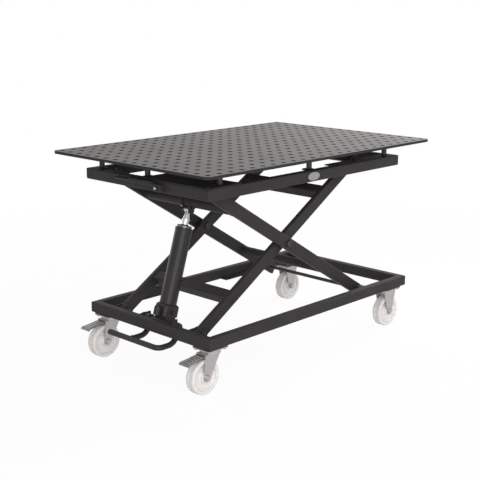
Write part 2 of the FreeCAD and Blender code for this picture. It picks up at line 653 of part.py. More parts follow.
def wheel(x, y):
    """A solid polyamide wheel: rim, web and hub turned from one profile."""
    half, hub, web = WHEEL_WIDTH / 2, WHEEL_HUB_WIDTH / 2, WHEEL_WEB / 2
    edge, crown = WHEEL_EDGE, WHEEL_CROWN
    side = [(CASTER_AXLE_R + RUN_GAP, hub), (WHEEL_HUB_R - edge, hub), (WHEEL_HUB_R, hub - edge),
            (WHEEL_HUB_R, web + edge), (WHEEL_HUB_R + edge, web), (WHEEL_RIM_R - edge, web),
            (WHEEL_RIM_R, web + WHEEL_SHOULDER), (WHEEL_RIM_R + edge / 2, half - edge / 2),
            (WHEEL_RIM_R + edge, half),
            (WHEEL_R - crown / 2, half), (WHEEL_R - crown / 6, half - crown / 2), (WHEEL_R, half - crown)]
    loop = side + [(r, -h) for r, h in reversed(side)]
    points = [V(x + r, y + h, WHEEL_R) for r, h in loop]
    face = Part.Face(Part.makePolygon(points + points[:1]))
    return face.revolve(V(x, y, WHEEL_R), Y, 360)


def brake_pedal(side):
    """A wheel brake's foot pedal: a hub on the fork's pin and a flared tread plate."""
    y = side * CASTER_Y
    pivot_x = SWIVEL_AXLE_X
    half = BRAKE_WIDTH / 2
    hub = y_bar(BRAKE_HUB_R, pivot_x, BRAKE_PIVOT_Z, y - half, y + half)
    tip_x, tip_z = pivot_x - BRAKE_REACH, BRAKE_PIVOT_Z - BRAKE_DROP
    side_view = plate_prism([
        (pivot_x, BRAKE_PIVOT_Z + BRAKE_HUB_R), (tip_x + BRAKE_LIP, tip_z + BRAKE_SHEET / 2),
        (tip_x, tip_z - BRAKE_SHEET), (tip_x + BRAKE_SHEET, tip_z - 2 * BRAKE_SHEET),
        (tip_x + BRAKE_LIP + BRAKE_SHEET, tip_z - BRAKE_SHEET / 2), (pivot_x, BRAKE_PIVOT_Z)],
        y - BRAKE_TIP_WIDTH, y + BRAKE_TIP_WIDTH)
    tip_half = BRAKE_TIP_WIDTH / 2
    plan = [V(pivot_x, y - half, 0), V(pivot_x - BRAKE_REACH / 2, y - half, 0), V(tip_x, y - tip_half, 0),
            V(tip_x, y + tip_half, 0), V(pivot_x - BRAKE_REACH / 2, y + half, 0), V(pivot_x, y + half, 0)]
    plan_prism = Part.Face(Part.makePolygon(plan + plan[:1])).extrude(Z * (BRAKE_PIVOT_Z * 2))
    body = side_view.common(plan_prism).fuse(hub).removeSplitter()
    return body.cut(y_bar(BRAKE_PIN_R + RUN_GAP, pivot_x, BRAKE_PIVOT_Z, y - half, y + half))


# ---------------------------------------------------------------- scissor arms
def to_arm(shape, tilt):
    """Moves a piece drawn along X to its place on the arms; tilt 1 rises to the rear."""
    shape.rotate(V(0, 0, 0), Y, -tilt * LIFT_ANGLE)
    shape.translate(CENTRE)
    return shape


def arm_point(along, tilt):
    """A point on an arm's axis in the XZ plane."""
    angle = math.radians(LIFT_ANGLE)
    return CENTRE + V(along * math.cos(angle), 0, tilt * along * math.sin(angle))


def arm(inner_face, tilt, side):
    """One scissor arm: hollow section, forged eye at the fixed pivot and three bush seats."""
    half = ARM_SPAN / 2
    inner_y = side * inner_face
    middle_y = inner_y + side * ARM_THICK / 2
    bar = rounded_bar(-half - ARM_EYE_R, half + ARM_TAIL, ARM_THICK, ARM_HEIGHT, ARM_CORNER_R)
    core = rounded_bar(-half + ARM_EYE_SOLID, half + ARM_TAIL - ARM_CAP, ARM_THICK - 2 * ARM_WALL,
                       ARM_HEIGHT - 2 * ARM_WALL, ARM_CORNER_R - ARM_WALL)
    high = ARM_HEIGHT / 2
    blade = plate_prism([(-half, ARM_EYE_R), (-half + ARM_EYE_TAPER, high), (half + ARM_TAIL, high),
                         (half + ARM_TAIL, -high), (-half + ARM_EYE_TAPER, -high), (-half, -ARM_EYE_R)],
                        -ARM_THICK / 2, ARM_THICK / 2)
    blade = blade.fuse(y_bar(ARM_EYE_R, -half, 0, -ARM_THICK / 2, ARM_THICK / 2))
    body = bar.cut(core).common(blade)
    seats = [y_bar(BUSH_R + SEAT_GAP, s, 0, -ARM_THICK, ARM_THICK) for s in (-half, 0, half)]
    body = body.cut(Part.makeCompound(seats))
    body.translate(V(0, middle_y, 0))
    return to_arm(body, tilt)


def arm_bushes(inner_face, tilt):
    """Plain bushes at the fixed and centre pivots and bosses for the roller axle."""
    half = ARM_SPAN / 2
    near, far = -inner_face - ARM_THICK, -inner_face
    bushes = [y_ring(BUSH_R, bore, s, 0, near, far)
              for s, bore in ((-half, PIN_R + RUN_GAP), (0, PIN_R + RUN_GAP), (half, AXLE_R + SEAT_GAP))]
    return both_sides(to_arm(group(bushes), tilt))


def square_rung(along, tilt):
    """A square tube between the inner arms, turned with them."""
    tube = hollow_bar(-INNER_ARM_FACE, INNER_ARM_FACE, HIGH_RUNG_SIZE, HIGH_RUNG_SIZE, RUNG_CORNER_R, RUNG_WALL)
    tube.rotate(V(0, 0, 0), Z, 90)
    tube.translate(V(along, 0, 0))
    return to_arm(tube, tilt)


def round_rung(radius, along):
    """A round tube between the outer arms."""
    place = arm_point(along, -1)
    return y_ring(radius, radius - ROUND_TUBE_WALL, place.x, place.z, -OUTER_ARM_FACE, OUTER_ARM_FACE)


def centre_pins():
    """The two centre pivot bolts, with the washers between the arms and their nuts."""
    inner_end = INNER_ARM_FACE
    outer_end = OUTER_ARM_FACE + ARM_THICK + FACE_GAP
    place = V(CENTRE.x, 0, CENTRE.z)
    shank = y_bar(PIN_R, place.x, place.z, -outer_end, -inner_end)
    head = y_bar(PIN_HEAD_R, place.x, place.z, -outer_end - PIN_HEAD_T, -outer_end)
    head = head.makeChamfer(PIN_CHAMFER, [edge for edge in head.Edges
                                         if edge.BoundBox.YMax < -outer_end - PIN_HEAD_T + TOUCH])
    nut = hexagon(CENTRE_NUT_AF, V(place.x, -inner_end, place.z), Y, PIN_HEAD_T)
    washer = y_ring(PIN_HEAD_R, PIN_R + SEAT_GAP, place.x, place.z,
                    -INNER_ARM_FACE - ARM_THICK - ARM_GAP + FACE_GAP, -INNER_ARM_FACE - ARM_THICK)
    return both_sides(group([shank.fuse([head, nut]).removeSplitter(), washer]))


def roller_axle(z, arm_outer):
    """A roller axle across the table with its spacer tubes and end washers."""
    roller_near = ROLLER_MID - ROLLER_WIDTH / 2 - FACE_GAP
    roller_far = ROLLER_MID + ROLLER_WIDTH / 2 + FACE_GAP
    tip = RAIL_INNER - AXLE_CLEAR
    rod = y_bar(AXLE_R, ROLLER_X, z, -tip, tip)
    spacer = y_ring(WASHER_R, AXLE_R + SEAT_GAP, ROLLER_X, z, -roller_near, -arm_outer)
    washer = y_ring(WASHER_R, AXLE_R + SEAT_GAP, ROLLER_X, z, -roller_far - WASHER_T, -roller_far)
    return group([rod, both_sides(group([spacer, washer]))])


def roller(z, side):
    """A track roller with a chamfered tread."""
    y0 = side * ROLLER_MID - ROLLER_WIDTH / 2
    body = y_bar(ROLLER_R, ROLLER_X, z, y0, y0 + ROLLER_WIDTH)
    body = body.makeChamfer(ROLLER_CHAMFER, [edge for edge in body.Edges if edge.Closed])
    return body.cut(y_bar(AXLE_R + RUN_GAP, ROLLER_X, z, y0, y0 + ROLLER_WIDTH))


# ---------------------------------------------------------------- jack
JACK_FOOT = V(JACK_FOOT_X, 0, JACK_FOOT_Z)
THRUST_CENTRE = arm_point(THRUST_TUBE_INSET - ARM_SPAN / 2, -1)
JACK_HEAD_DROP = THRUST_TUBE_R + JACK_HEAD_EYE_R + JACK_HEAD_CLEAR
JACK_HEAD = THRUST_CENTRE + (JACK_FOOT - THRUST_CENTRE).normalize() * JACK_HEAD_DROP
JACK_LENGTH = (JACK_HEAD - JACK_FOOT).Length
JACK_LEAN = math.degrees(math.atan2(JACK_HEAD.x - JACK_FOOT.x, JACK_HEAD.z - JACK_FOOT.z))
JACK_TUBE_TOP = JACK_LENGTH - JACK_ROD_SHOWN
JACK_TUBE_LENGTH = JACK_TUBE_TOP - PUMP_TOP
JACK_STROKE_LEFT = JACK_STROKE_SHARE * (JACK_TUBE_LENGTH - JACK_GLAND_DEPTH - JACK_PISTON_T)


def to_jack(shape):
    """Moves a piece drawn along Z from the foot pin onto the jack's axis."""
    shape.rotate(V(0, 0, 0), Y, JACK_LEAN)
    shape.translate(JACK_FOOT)
    return shape


def jack_cylinder():
    """The jack's tube, standing on the pump block and open at the top for the gland."""
    tube = cylinder(JACK_TUBE_R, Z * PUMP_TOP, Z, JACK_TUBE_LENGTH)
    return to_jack(tube.cut(cylinder(JACK_TUBE_BORE_R, Z * PUMP_TOP, Z, JACK_TUBE_LENGTH)))


def jack_gland():
    """The plated gland at the top of the tube, with the rod's bore."""
    flange = cylinder(JACK_GLAND_R, Z * JACK_TUBE_TOP, Z, JACK_GLAND_HEIGHT)
    flange = flange.makeFillet(JACK_GLAND_HEIGHT / 3, top_rim(flange, JACK_TUBE_TOP + JACK_GLAND_HEIGHT))
    nose_start = Z * (JACK_TUBE_TOP - JACK_GLAND_DEPTH)
    nose = cylinder(JACK_TUBE_BORE_R - SEAT_GAP, nose_start, Z, JACK_GLAND_DEPTH)
    bore = cylinder(JACK_ROD_R + RUN_GAP, nose_start, Z, JACK_GLAND_DEPTH + JACK_GLAND_HEIGHT)
    return to_jack(flange.fuse(nose).removeSplitter().cut(bore))


def pump_block():
    """The pump and valve block under the tube, with the eye that stands on the foot pin."""
    half_l, half_w = PUMP_LENGTH / 2, PUMP_WIDTH / 2
    block = box(-half_l, half_l, -half_w, half_w, PUMP_BOTTOM, PUMP_TOP)
    block = block.makeFillet(PUMP_CORNER_R, edges_along(block, Z))
    block = block.makeFillet(PUMP_SHOULDER_R, [edge for edge in block.Edges
                                               if edge.BoundBox.ZMin > PUMP_TOP - TOUCH])
    stem = box(-JACK_EYE_R, JACK_EYE_R, -JACK_EYE_HALF_W, JACK_EYE_HALF_W, 0, PUMP_BOTTOM)
    eye = y_bar(JACK_EYE_R, 0, 0, -JACK_EYE_HALF_W, JACK_EYE_HALF_W)
    body = block.fuse([stem, eye]).removeSplitter()
    return to_jack(body.cut(y_bar(PIN_R + JACK_EYE_SLACK, 0, 0, -JACK_EYE_HALF_W, JACK_EYE_HALF_W)))


def pump_fittings():
    """The pump's barrel, the release valve knob and the filler screw."""
    front = -PUMP_LENGTH / 2
    barrel_top = PUMP_TOP - PUMP_BARREL_DROP
    barrel = cylinder(PUMP_BARREL_R, V(front - PUMP_BARREL_R + PUMP_BARREL_SUNK, 0, barrel_top), -Z,
                      PUMP_BARREL_LENGTH)
    barrel = barrel.makeFillet(PUMP_BARREL_R / 4, top_rim(barrel, barrel_top))
    barrel = barrel.cut(box(front, 0, -PUMP_BARREL_R, PUMP_BARREL_R, PUMP_BOTTOM - PUMP_BARREL_R, PUMP_TOP))
    port_z = PUMP_TOP - PUMP_PORT_DROP
    face = PUMP_WIDTH / 2
    knob = y_bar(PUMP_KNOB_R, 0, port_z, face, face + PUMP_KNOB_LENGTH)
    screw = y_bar(PUMP_SCREW_R, 0, port_z, -face, -face - PUMP_SCREW_LENGTH)
    return to_jack(group([barrel, knob, screw]))


def jack_rod():
    """The piston rod: piston, rod, collar, tapered neck and the eye on the upper pin."""
    piston_top = JACK_TUBE_TOP - JACK_GLAND_DEPTH - JACK_STROKE_LEFT
    piston = cylinder(JACK_TUBE_BORE_R - RUN_GAP, Z * (piston_top - JACK_PISTON_T), Z, JACK_PISTON_T)
    neck_end = JACK_LENGTH - JACK_NECK_R
    neck_start = neck_end - JACK_NECK_LENGTH
    rod = cylinder(JACK_ROD_R, Z * piston_top, Z, neck_start - piston_top)
    neck = Part.makeCone(JACK_ROD_R, JACK_NECK_R, JACK_NECK_LENGTH, Z * neck_start, Z)
    collar = cylinder(JACK_ROD_COLLAR_R, Z * (neck_start - JACK_ROD_COLLAR_T), Z, JACK_ROD_COLLAR_T)
    half = JACK_HEAD_LUG_HALF - FACE_GAP
    eye = y_bar(JACK_HEAD_EYE_R, 0, JACK_LENGTH, -half, half)
    body = piston.fuse([rod, neck, collar, eye]).removeSplitter()
    return to_jack(body.cut(y_bar(JACK_HEAD_PIN_R + RUN_GAP, 0, JACK_LENGTH, -half, half)))


def jack_head_lugs():
    """Two lugs under the thrust tube that carry the jack's upper pin."""
    plates = []
    for side in SIDES:
        y0 = min(side * JACK_HEAD_LUG_HALF, side * (JACK_HEAD_LUG_HALF + JACK_HEAD_LUG_T))
        y1 = y0 + JACK_HEAD_LUG_T
        wrap = y_bar(THRUST_TUBE_R + JACK_HEAD_LUG_T, THRUST_CENTRE.x, THRUST_CENTRE.z, y0, y1)
        eye = y_bar(JACK_HEAD_LUG_R, JACK_HEAD.x, JACK_HEAD.z, y0, y1)
        plate = wrap.fuse(eye).removeSplitter()
        cut = [y_bar(THRUST_TUBE_R + SEAT_GAP, THRUST_CENTRE.x, THRUST_CENTRE.z, y0, y1),
               y_bar(JACK_HEAD_PIN_R + SEAT_GAP, JACK_HEAD.x, JACK_HEAD.z, y0, y1)]
        plates.append(plate.cut(Part.makeCompound(cut)))
    return group(plates)


def jack_head_pin():
    """The jack's upper pin with a retaining ring at each end."""
    reach = JACK_HEAD_LUG_HALF + JACK_HEAD_LUG_T
    pin = y_bar(JACK_HEAD_PIN_R, JACK_HEAD.x, JACK_HEAD.z, -reach - 2 * WASHER_T, reach + 2 * WASHER_T)
    rings = [y_ring(JACK_HEAD_PIN_R + WASHER_T, JACK_HEAD_PIN_R + SEAT_GAP, JACK_HEAD.x, JACK_HEAD.z,
                    side * reach, side * (reach + WASHER_T)) for side in SIDES]
    return group([pin] + rings)


# ---------------------------------------------------------------- foot pedal
def pedal():
    """The foot pedal: a round bar bent into its near arm, a welded far arm and two eyes on the shaft."""
    x_bar, z_bar, y_near, y_far = PEDAL_BAR_X, PEDAL_BAR_Z, PEDAL_ARM_NEAR_Y, PEDAL_ARM_FAR_Y
    rise_x = PEDAL_PIVOT_X - PEDAL_RISE_R
    rise_z = z_bar + PEDAL_RISE_R
    diagonal = PEDAL_BEND_R * (1 - math.sqrt(0.5))
    slope = PEDAL_RISE_R * math.sqrt(0.5)
    bar_end, bend_start = V(x_bar, PEDAL_BAR_END_Y, z_bar), V(x_bar, y_near + PEDAL_BEND_R, z_bar)
    bend_end = V(x_bar + PEDAL_BEND_R, y_near, z_bar)
    near = [line(bar_end, bend_start),
            arc(bend_start, V(x_bar + diagonal, y_near + diagonal, z_bar), bend_end),
            line(bend_end, V(rise_x, y_near, z_bar))]
    far = [line(V(x_bar, y_far, z_bar), V(rise_x, y_far, z_bar))]
    rods = []
    for y, start in ((y_near, near), (y_far, far)):
        rise = arc(V(rise_x, y, z_bar), V(rise_x + slope, y, rise_z - slope), V(PEDAL_PIVOT_X, y, rise_z))
        upright = line(V(PEDAL_PIVOT_X, y, rise_z), V(PEDAL_PIVOT_X, y, PEDAL_PIVOT_Z))
        rods.append(swept_rod(PEDAL_BAR_R, start + [rise, upright]))
    ends = [edge for edge in rods[0].Edges if edge.Closed and edge.BoundBox.YMin > PEDAL_BAR_END_Y - TOUCH]
    rods[0] = rods[0].makeFillet(PEDAL_BAR_ROUND, ends)
    eyes = [y_bar(PEDAL_EYE_R, PEDAL_PIVOT_X, PEDAL_PIVOT_Z, y - PEDAL_EYE_W / 2, y + PEDAL_EYE_W / 2)
            for y in (y_near, y_far)]
    body = rods[0].fuse([rods[1]] + eyes).removeSplitter()
    return body.cut(y_bar(PEDAL_SHAFT_R + RUN_GAP, PEDAL_PIVOT_X, PEDAL_PIVOT_Z,
                          y_near - PEDAL_EYE_W, y_far + PEDAL_EYE_W))


# ---------------------------------------------------------------- table frame and top
def grid_places():
    """Plan positions of the plate's holes, a grid centred on the plate."""
    return [((column - (COLUMNS - 1) / 2) * GRID_PITCH, (row - (ROWS - 1) / 2) * GRID_PITCH)
            for column in range(COLUMNS) for row in range(ROWS)]


def post_places():
    """Plan positions of the posts that carry the plate, each under a hole of its grid."""
    return [(GRID_PITCH - POST_END_X, -POST_SIDE_Y), (POST_MIDDLE_X, -POST_SIDE_Y), (POST_END_X, -POST_SIDE_Y),
            (-POST_END_X, POST_MIDDLE_Y), (POST_END_X, POST_MIDDLE_Y),
            (-POST_END_X, POST_SIDE_Y), (POST_MIDDLE_X, POST_SIDE_Y), (POST_END_X, POST_SIDE_Y)]


def perforated_plate():
    """The work top: a steel plate with a square grid of through holes."""
    half_l, half_w = PLATE_LENGTH / 2, PLATE_WIDTH / 2
    bottom = TABLE_HEIGHT - PLATE_THICK
    plate = box(-half_l, half_l, -half_w, half_w, bottom, TABLE_HEIGHT)
    plate = plate.makeFillet(PLATE_CORNER_R, edges_along(plate, Z))
    holes = [cylinder(GRID_HOLE_R, V(x, y, bottom), Z, PLATE_THICK) for x, y in grid_places()]
    return plate.cut(Part.makeCompound(holes))


def posts():
    """Round posts with a spigot in the plate's holes and a tapped bore for the screw."""
    pieces = []
    for x, y in post_places():
        post = cylinder(POST_R, V(x, y, TABLE_FRAME_TOP), Z, POST_HEIGHT)
        spigot = cylinder(SPIGOT_R, V(x, y, TABLE_FRAME_TOP), Z, POST_HEIGHT + SPIGOT_HEIGHT)
        bore = cylinder(PLATE_SCREW_R + SEAT_GAP, V(x, y, TABLE_FRAME_TOP + POST_HEIGHT + SPIGOT_HEIGHT), -Z,
                        PLATE_SCREW_DEPTH + TAP_RUNOUT)
        pieces.append(post.fuse(spigot).removeSplitter().cut(bore))
    return group(pieces)


def plate_screws():
    """Socket screws in the spigots that hold the plate down."""
    pieces = []
    seat_z = TABLE_FRAME_TOP + POST_HEIGHT + SPIGOT_HEIGHT
    for x, y in post_places():
        shank = cylinder(PLATE_SCREW_R, V(x, y, seat_z - PLATE_SCREW_DEPTH), Z, PLATE_SCREW_DEPTH)
        head = cylinder(PLATE_SCREW_HEAD_R, V(x, y, seat_z), Z, PLATE_SCREW_HEAD_T)
        socket = hexagon(SOCKET_AF, V(x, y, seat_z + PLATE_SCREW_HEAD_T), -Z, SOCKET_DEPTH)
        pieces.append(shank.fuse(head).removeSplitter().cut(socket))
    return group(pieces)


def post_lugs():
    """Flat lugs welded inside the upper frame under the posts that stand clear of a track."""
    pieces = []
    top, bottom = TABLE_FRAME_TOP, TABLE_FRAME_TOP - LUG_THICK
    half, reach = LUG_LENGTH / 2, 2 * POST_R
    for x, y in post_places():
        if abs(y) == POST_SIDE_Y:
            if x - POST_R < TRACK_START:
                y0, y1 = sorted((math.copysign(RAIL_INNER, y), y - math.copysign(reach, y)))
                x0, x1 = max(x - half, FRONT_INNER), min(x + half, TRACK_START)
                pieces.append(box(x0, x1, y0, y1, bottom, top))
        else:
            x0, x1 = sorted((math.copysign(-FRONT_INNER, x), x - math.copysign(reach, x)))
            pieces.append(box(x0, x1, y - half, y + half, bottom, top))
    return group(pieces)


def console_plate():
    """The cover plate on the front near corner of the upper frame."""
    plate = box(FRAME_FRONT, CONSOLE_REAR, -FRAME_HALF_WIDTH, CONSOLE_FAR, TABLE_FRAME_TOP,
                TABLE_FRAME_TOP + CONSOLE_THICK)
    plate = plate.makeFillet(CONSOLE_THICK, edges_along(plate, Z))
    for x, y in post_places():
        plate = plate.cut(cylinder(POST_R + FACE_GAP, V(x, y, TABLE_FRAME_TOP), Z, CONSOLE_THICK))
    return plate


def cover_screws():
    """Button-head screws on the cover plate, over the middle of the rail and the beam."""
    seat_z = TABLE_FRAME_TOP + CONSOLE_THICK
    half = FRAME_TUBE_W / 2
    front, near = FRAME_FRONT + half, half - FRAME_HALF_WIDTH
    screws = []
    for x, y in ((front, near), (CONSOLE_REAR - half, near), (front, CONSOLE_FAR - half)):
        head = cylinder(COVER_SCREW_HEAD_R, V(x, y, seat_z), Z, COVER_SCREW_HEAD_T)
        head = head.makeFillet(COVER_SCREW_ROUND, top_rim(head, seat_z + COVER_SCREW_HEAD_T))
        screws.append(head.cut(hexagon(SOCKET_AF, V(x, y, seat_z + COVER_SCREW_HEAD_T), -Z, SOCKET_DEPTH)))
    return group(screws)


def badge():
    """A plain oval badge on the near rail of the upper frame."""
    ellipse = Part.Ellipse(V(0, 0, 0), BADGE_LENGTH / 2, BADGE_HEIGHT / 2)
    disc = Part.Face(Part.Wire(ellipse.toShape())).extrude(Z * BADGE_THICK)
    disc.rotate(V(0, 0, 0), X, 90)
    disc.translate(V(BADGE_X, -FRAME_HALF_WIDTH, TABLE_FRAME_TOP - FRAME_HEIGHT / 2))
    return disc


# ---------------------------------------------------------------- release lever
def lever_bracket():
    """The release lever's bracket on the front beam: two cheeks, a web and the pivot bolt."""
    x1, x0 = FRAME_FRONT, FRAME_FRONT - LEVER_BRACKET_DEPTH
    y0 = LEVER_PIVOT_Y - LEVER_BRACKET_W / 2
    z0 = LEVER_PIVOT_Z - LEVER_BRACKET_H / 2
    y1, z1 = y0 + LEVER_BRACKET_W, z0 + LEVER_BRACKET_H
    body = box(x0, x1, y0, y1, z0, z1)
    body = body.cut(box(x0 + LEVER_SHEET, x1 - LEVER_SHEET, y0 + LEVER_SHEET, y1, z0, z1))
    hole = cylinder(LEVER_BOLT_R + SEAT_GAP, V(x0, LEVER_PIVOT_Y, LEVER_PIVOT_Z), X, LEVER_BRACKET_DEPTH)
    head = cylinder(LEVER_BOLT_HEAD_R, V(x0, LEVER_PIVOT_Y, LEVER_PIVOT_Z), -X, LEVER_BOLT_HEAD_T)
    bolt = cylinder(LEVER_BOLT_R, V(x0, LEVER_PIVOT_Y, LEVER_PIVOT_Z), X, LEVER_BRACKET_DEPTH)
    return group([body.cut(hole), head.fuse(bolt).removeSplitter()])


def release_lever():
    """The hand lever: hub and flat, a moulded grip and a bent wire tip."""
    middle_x = FRAME_FRONT - LEVER_BRACKET_DEPTH / 2
    y0, z0 = LEVER_PIVOT_Y, LEVER_PIVOT_Z
    half_t = LEVER_FLAT_T / 2
    hub = cylinder(LEVER_HUB_R, V(middle_x - half_t, y0, z0), X, LEVER_FLAT_T)
    rise_z = z0 + LEVER_RISE
    points = [V(middle_x - half_t, y, z) for y, z in (
        (y0, z0 - LEVER_HUB_R), (y0, z0 + LEVER_HUB_R), (LEVER_GRIP_START, rise_z + LEVER_FLAT_H / 2),
        (LEVER_GRIP_START + LEVER_TANG, rise_z + LEVER_FLAT_H / 2),
        (LEVER_GRIP_START + LEVER_TANG, rise_z - LEVER_FLAT_H / 2))]
    flat = Part.Face(Part.makePolygon(points + points[:1])).extrude(X * LEVER_FLAT_T)
    grip = box(middle_x - LEVER_GRIP_W / 2, middle_x + LEVER_GRIP_W / 2, LEVER_GRIP_START, LEVER_GRIP_END,
               rise_z - LEVER_GRIP_H / 2, rise_z + LEVER_GRIP_H / 2)
    grip = grip.makeFillet(LEVER_GRIP_ROUND, edges_along(grip, Y))
    left, right = middle_x - LEVER_WIRE_HALF, middle_x + LEVER_WIRE_HALF
    tip_y = LEVER_WIRE_END - LEVER_WIRE_HALF - LEVER_WIRE_R
    start_y = LEVER_GRIP_END - LEVER_WIRE_SUNK
    wire_z = rise_z - LEVER_WIRE_DROP
    wire = swept_rod(LEVER_WIRE_R, [
        line(V(left, start_y, wire_z), V(left, tip_y, wire_z)),
        arc(V(left, tip_y, wire_z), V(middle_x, tip_y + LEVER_WIRE_HALF, wire_z), V(right, tip_y, wire_z)),
        line(V(right, tip_y, wire_z), V(right, start_y, wire_z))])
    body = hub.fuse([flat, grip, wire]).removeSplitter()
    return body.cut(cylinder(LEVER_BOLT_R + RUN_GAP, V(middle_x - half_t, y0, z0), X, LEVER_FLAT_T))


# ---------------------------------------------------------------- nodes
def nodes():
    """Every node of the assembly by name."""
    table_bottom = TABLE_FRAME_TOP - FRAME_HEIGHT
    return {
        "base_rail_near": frame_rail(BASE_REAR, BASE_BOTTOM, -1),
        "base_rail_far": frame_rail(BASE_REAR, BASE_BOTTOM, 1),
        "base_beam_front": frame_beam(FRAME_FRONT, 1, BASE_BOTTOM),
        "base_beam_rear": frame_beam(BASE_REAR, -1, BASE_BOTTOM),
        "base_tracks": base_tracks(),
        "base_lugs": base_lugs(),
        "base_pins": base_pins(),
        "pedal_shaft": pedal_shaft(),
        "corner_pads": corner_pads(),
        "caster_top_plates": caster_top_plates(),
        "caster_bolts": caster_bolts(),
        "kingpins": kingpins(),
        "fixed_forks": fixed_forks(),
        "swivel_fork_near": swivel_fork(-1),
        "swivel_fork_far": swivel_fork(1),
        "wheel_front_near": wheel(SWIVEL_AXLE_X, -CASTER_Y),
        "wheel_front_far": wheel(SWIVEL_AXLE_X, CASTER_Y),
        "wheel_rear_near": wheel(FIXED_X, -CASTER_Y),
        "wheel_rear_far": wheel(FIXED_X, CASTER_Y),
        "brake_pedal_near": brake_pedal(-1),
        "brake_pedal_far": brake_pedal(1),
        "inner_arm_near": arm(INNER_ARM_FACE, 1, -1),
        "inner_arm_far": arm(INNER_ARM_FACE, 1, 1),
        "inner_arm_bushes": arm_bushes(INNER_ARM_FACE, 1),
        "inner_rung_high": square_rung(ARM_SPAN / 2 - HIGH_RUNG_INSET, 1),
        "inner_rung_low": square_rung(LOW_RUNG_INSET - ARM_SPAN / 2, 1),
        "centre_pins": centre_pins(),
        "upper_axle": roller_axle(HIGH_PIVOT_Z, INNER_ARM_FACE + ARM_THICK),
        "roller_upper_near": roller(HIGH_PIVOT_Z, -1),
        "roller_upper_far": roller(HIGH_PIVOT_Z, 1),
        "outer_arm_near": arm(OUTER_ARM_FACE, -1, -1),
        "outer_arm_far": arm(OUTER_ARM_FACE, -1, 1),
        "outer_arm_bushes": arm_bushes(OUTER_ARM_FACE, -1),
        "thrust_tube": round_rung(THRUST_TUBE_R, THRUST_TUBE_INSET - ARM_SPAN / 2),
        "tie_tube": round_rung(TIE_TUBE_R, ARM_SPAN / 2 - TIE_TUBE_INSET),
        "lower_axle": roller_axle(LOW_PIVOT_Z, OUTER_ARM_FACE + ARM_THICK),
        "roller_lower_near": roller(LOW_PIVOT_Z, -1),
        "roller_lower_far": roller(LOW_PIVOT_Z, 1),
        "jack_head_lugs": jack_head_lugs(),
        "jack_head_pin": jack_head_pin(),
        "jack_cylinder": jack_cylinder(),
        "jack_gland": jack_gland(),
        "pump_block": pump_block(),
        "pump_fittings": pump_fittings(),
        "jack_rod": jack_rod(),
        "pedal": pedal(),
        "table_rail_near": frame_rail(TABLE_REAR, table_bottom, -1),
        "table_rail_far": frame_rail(TABLE_REAR, table_bottom, 1),
        "table_beam_front": frame_beam(FRAME_FRONT, 1, table_bottom),
        "table_beam_rear": frame_beam(TABLE_REAR, -1, table_bottom),
        "table_tracks": table_tracks(),
        "table_lugs": both_sides(clevis(OUTER_ARM_FACE, TABLE_LUG_R, HIGH_PIVOT_Z)),
        "table_pins": both_sides(clevis_pin(OUTER_ARM_FACE, HIGH_PIVOT_Z)),
        "post_lugs": post_lugs(),
        "posts": posts(),
        "plate_screws": plate_screws(),
        "perforated_plate": perforated_plate(),
        "lever_bracket": lever_bracket(),
        "release_lever": release_lever(),
        "trim": group([console_plate(), cover_screws(), badge()]),
    }


def main():
    """Builds every node and writes one STEP file for each."""
    os.makedirs("parts", exist_ok=True)
    for name, shape in nodes().items():
        shape.exportStep("parts/%s.step" % name)


main()
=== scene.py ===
"""Assembly table on a double scissor lift: its finishes and its small fittings.

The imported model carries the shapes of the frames, arms, jack and casters. This script gives
every node its finish and adds what is welded, moulded or pressed onto them.
"""

import logging
import math
from dataclasses import dataclass, field, replace
from enum import Enum, IntEnum
from typing import Optional, Sequence, Union

import bmesh
import bpy
from mathutils import Matrix, Vector


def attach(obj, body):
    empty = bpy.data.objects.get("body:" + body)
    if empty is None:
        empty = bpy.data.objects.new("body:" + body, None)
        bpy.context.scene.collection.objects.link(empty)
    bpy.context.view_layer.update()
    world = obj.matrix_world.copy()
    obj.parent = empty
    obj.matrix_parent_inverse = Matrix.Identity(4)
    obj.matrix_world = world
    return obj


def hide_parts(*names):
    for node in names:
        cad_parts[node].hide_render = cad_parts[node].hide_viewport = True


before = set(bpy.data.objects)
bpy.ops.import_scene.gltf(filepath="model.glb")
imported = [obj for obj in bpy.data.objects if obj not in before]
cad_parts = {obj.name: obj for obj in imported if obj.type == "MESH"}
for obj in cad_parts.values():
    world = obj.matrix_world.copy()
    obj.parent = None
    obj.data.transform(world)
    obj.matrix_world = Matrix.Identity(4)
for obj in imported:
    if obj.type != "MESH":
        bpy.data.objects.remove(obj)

LOG = logging.getLogger("assembly_table")
MM = 0.001

# Places that several pieces share, in millimetres.
FRONT_AXLE_X = -501.0
REAR_AXLE_X = 531.5
CASTER_Y = 265.0

# How weld beads and ribs are drawn.
BEAD_SIDES = 8
RIB_SIDES = 12
RIPPLE_SWELL = 0.1  # growth of a bead's radius at the crest of a ripple
BEAD_END = 0.45  # share of a bead's radius at its very end
RIB_DOME = 0.7  # share of a rib's radius that its domed ends take up
MERGE_MM = 0.0005  # points closer than this are one

ACROSS = (0.0, 1.0, 0.0)
ALONG = (1.0, 0.0, 0.0)
WHITE = (1.0, 1.0, 1.0, 1.0)

Colour = tuple[float, float, float]
Point = Sequence[float]
Profile = Sequence[tuple[float, float]]
Number = Union["Wire", float]
Paint = Union["Wire", Colour]


# ------------------------------------------------------------------ named options
class Section(Enum):
    """The two rectangular frames, by the body that they belong to."""

    BASE = "base"
    TABLE = "table"


class Side(IntEnum):
    """The two long sides, by their sign along Y."""

    NEAR = -1
    FAR = 1

    def label(self) -> str:
        """The side's name as it stands in the names of nodes and bodies."""
        return self.name.lower()


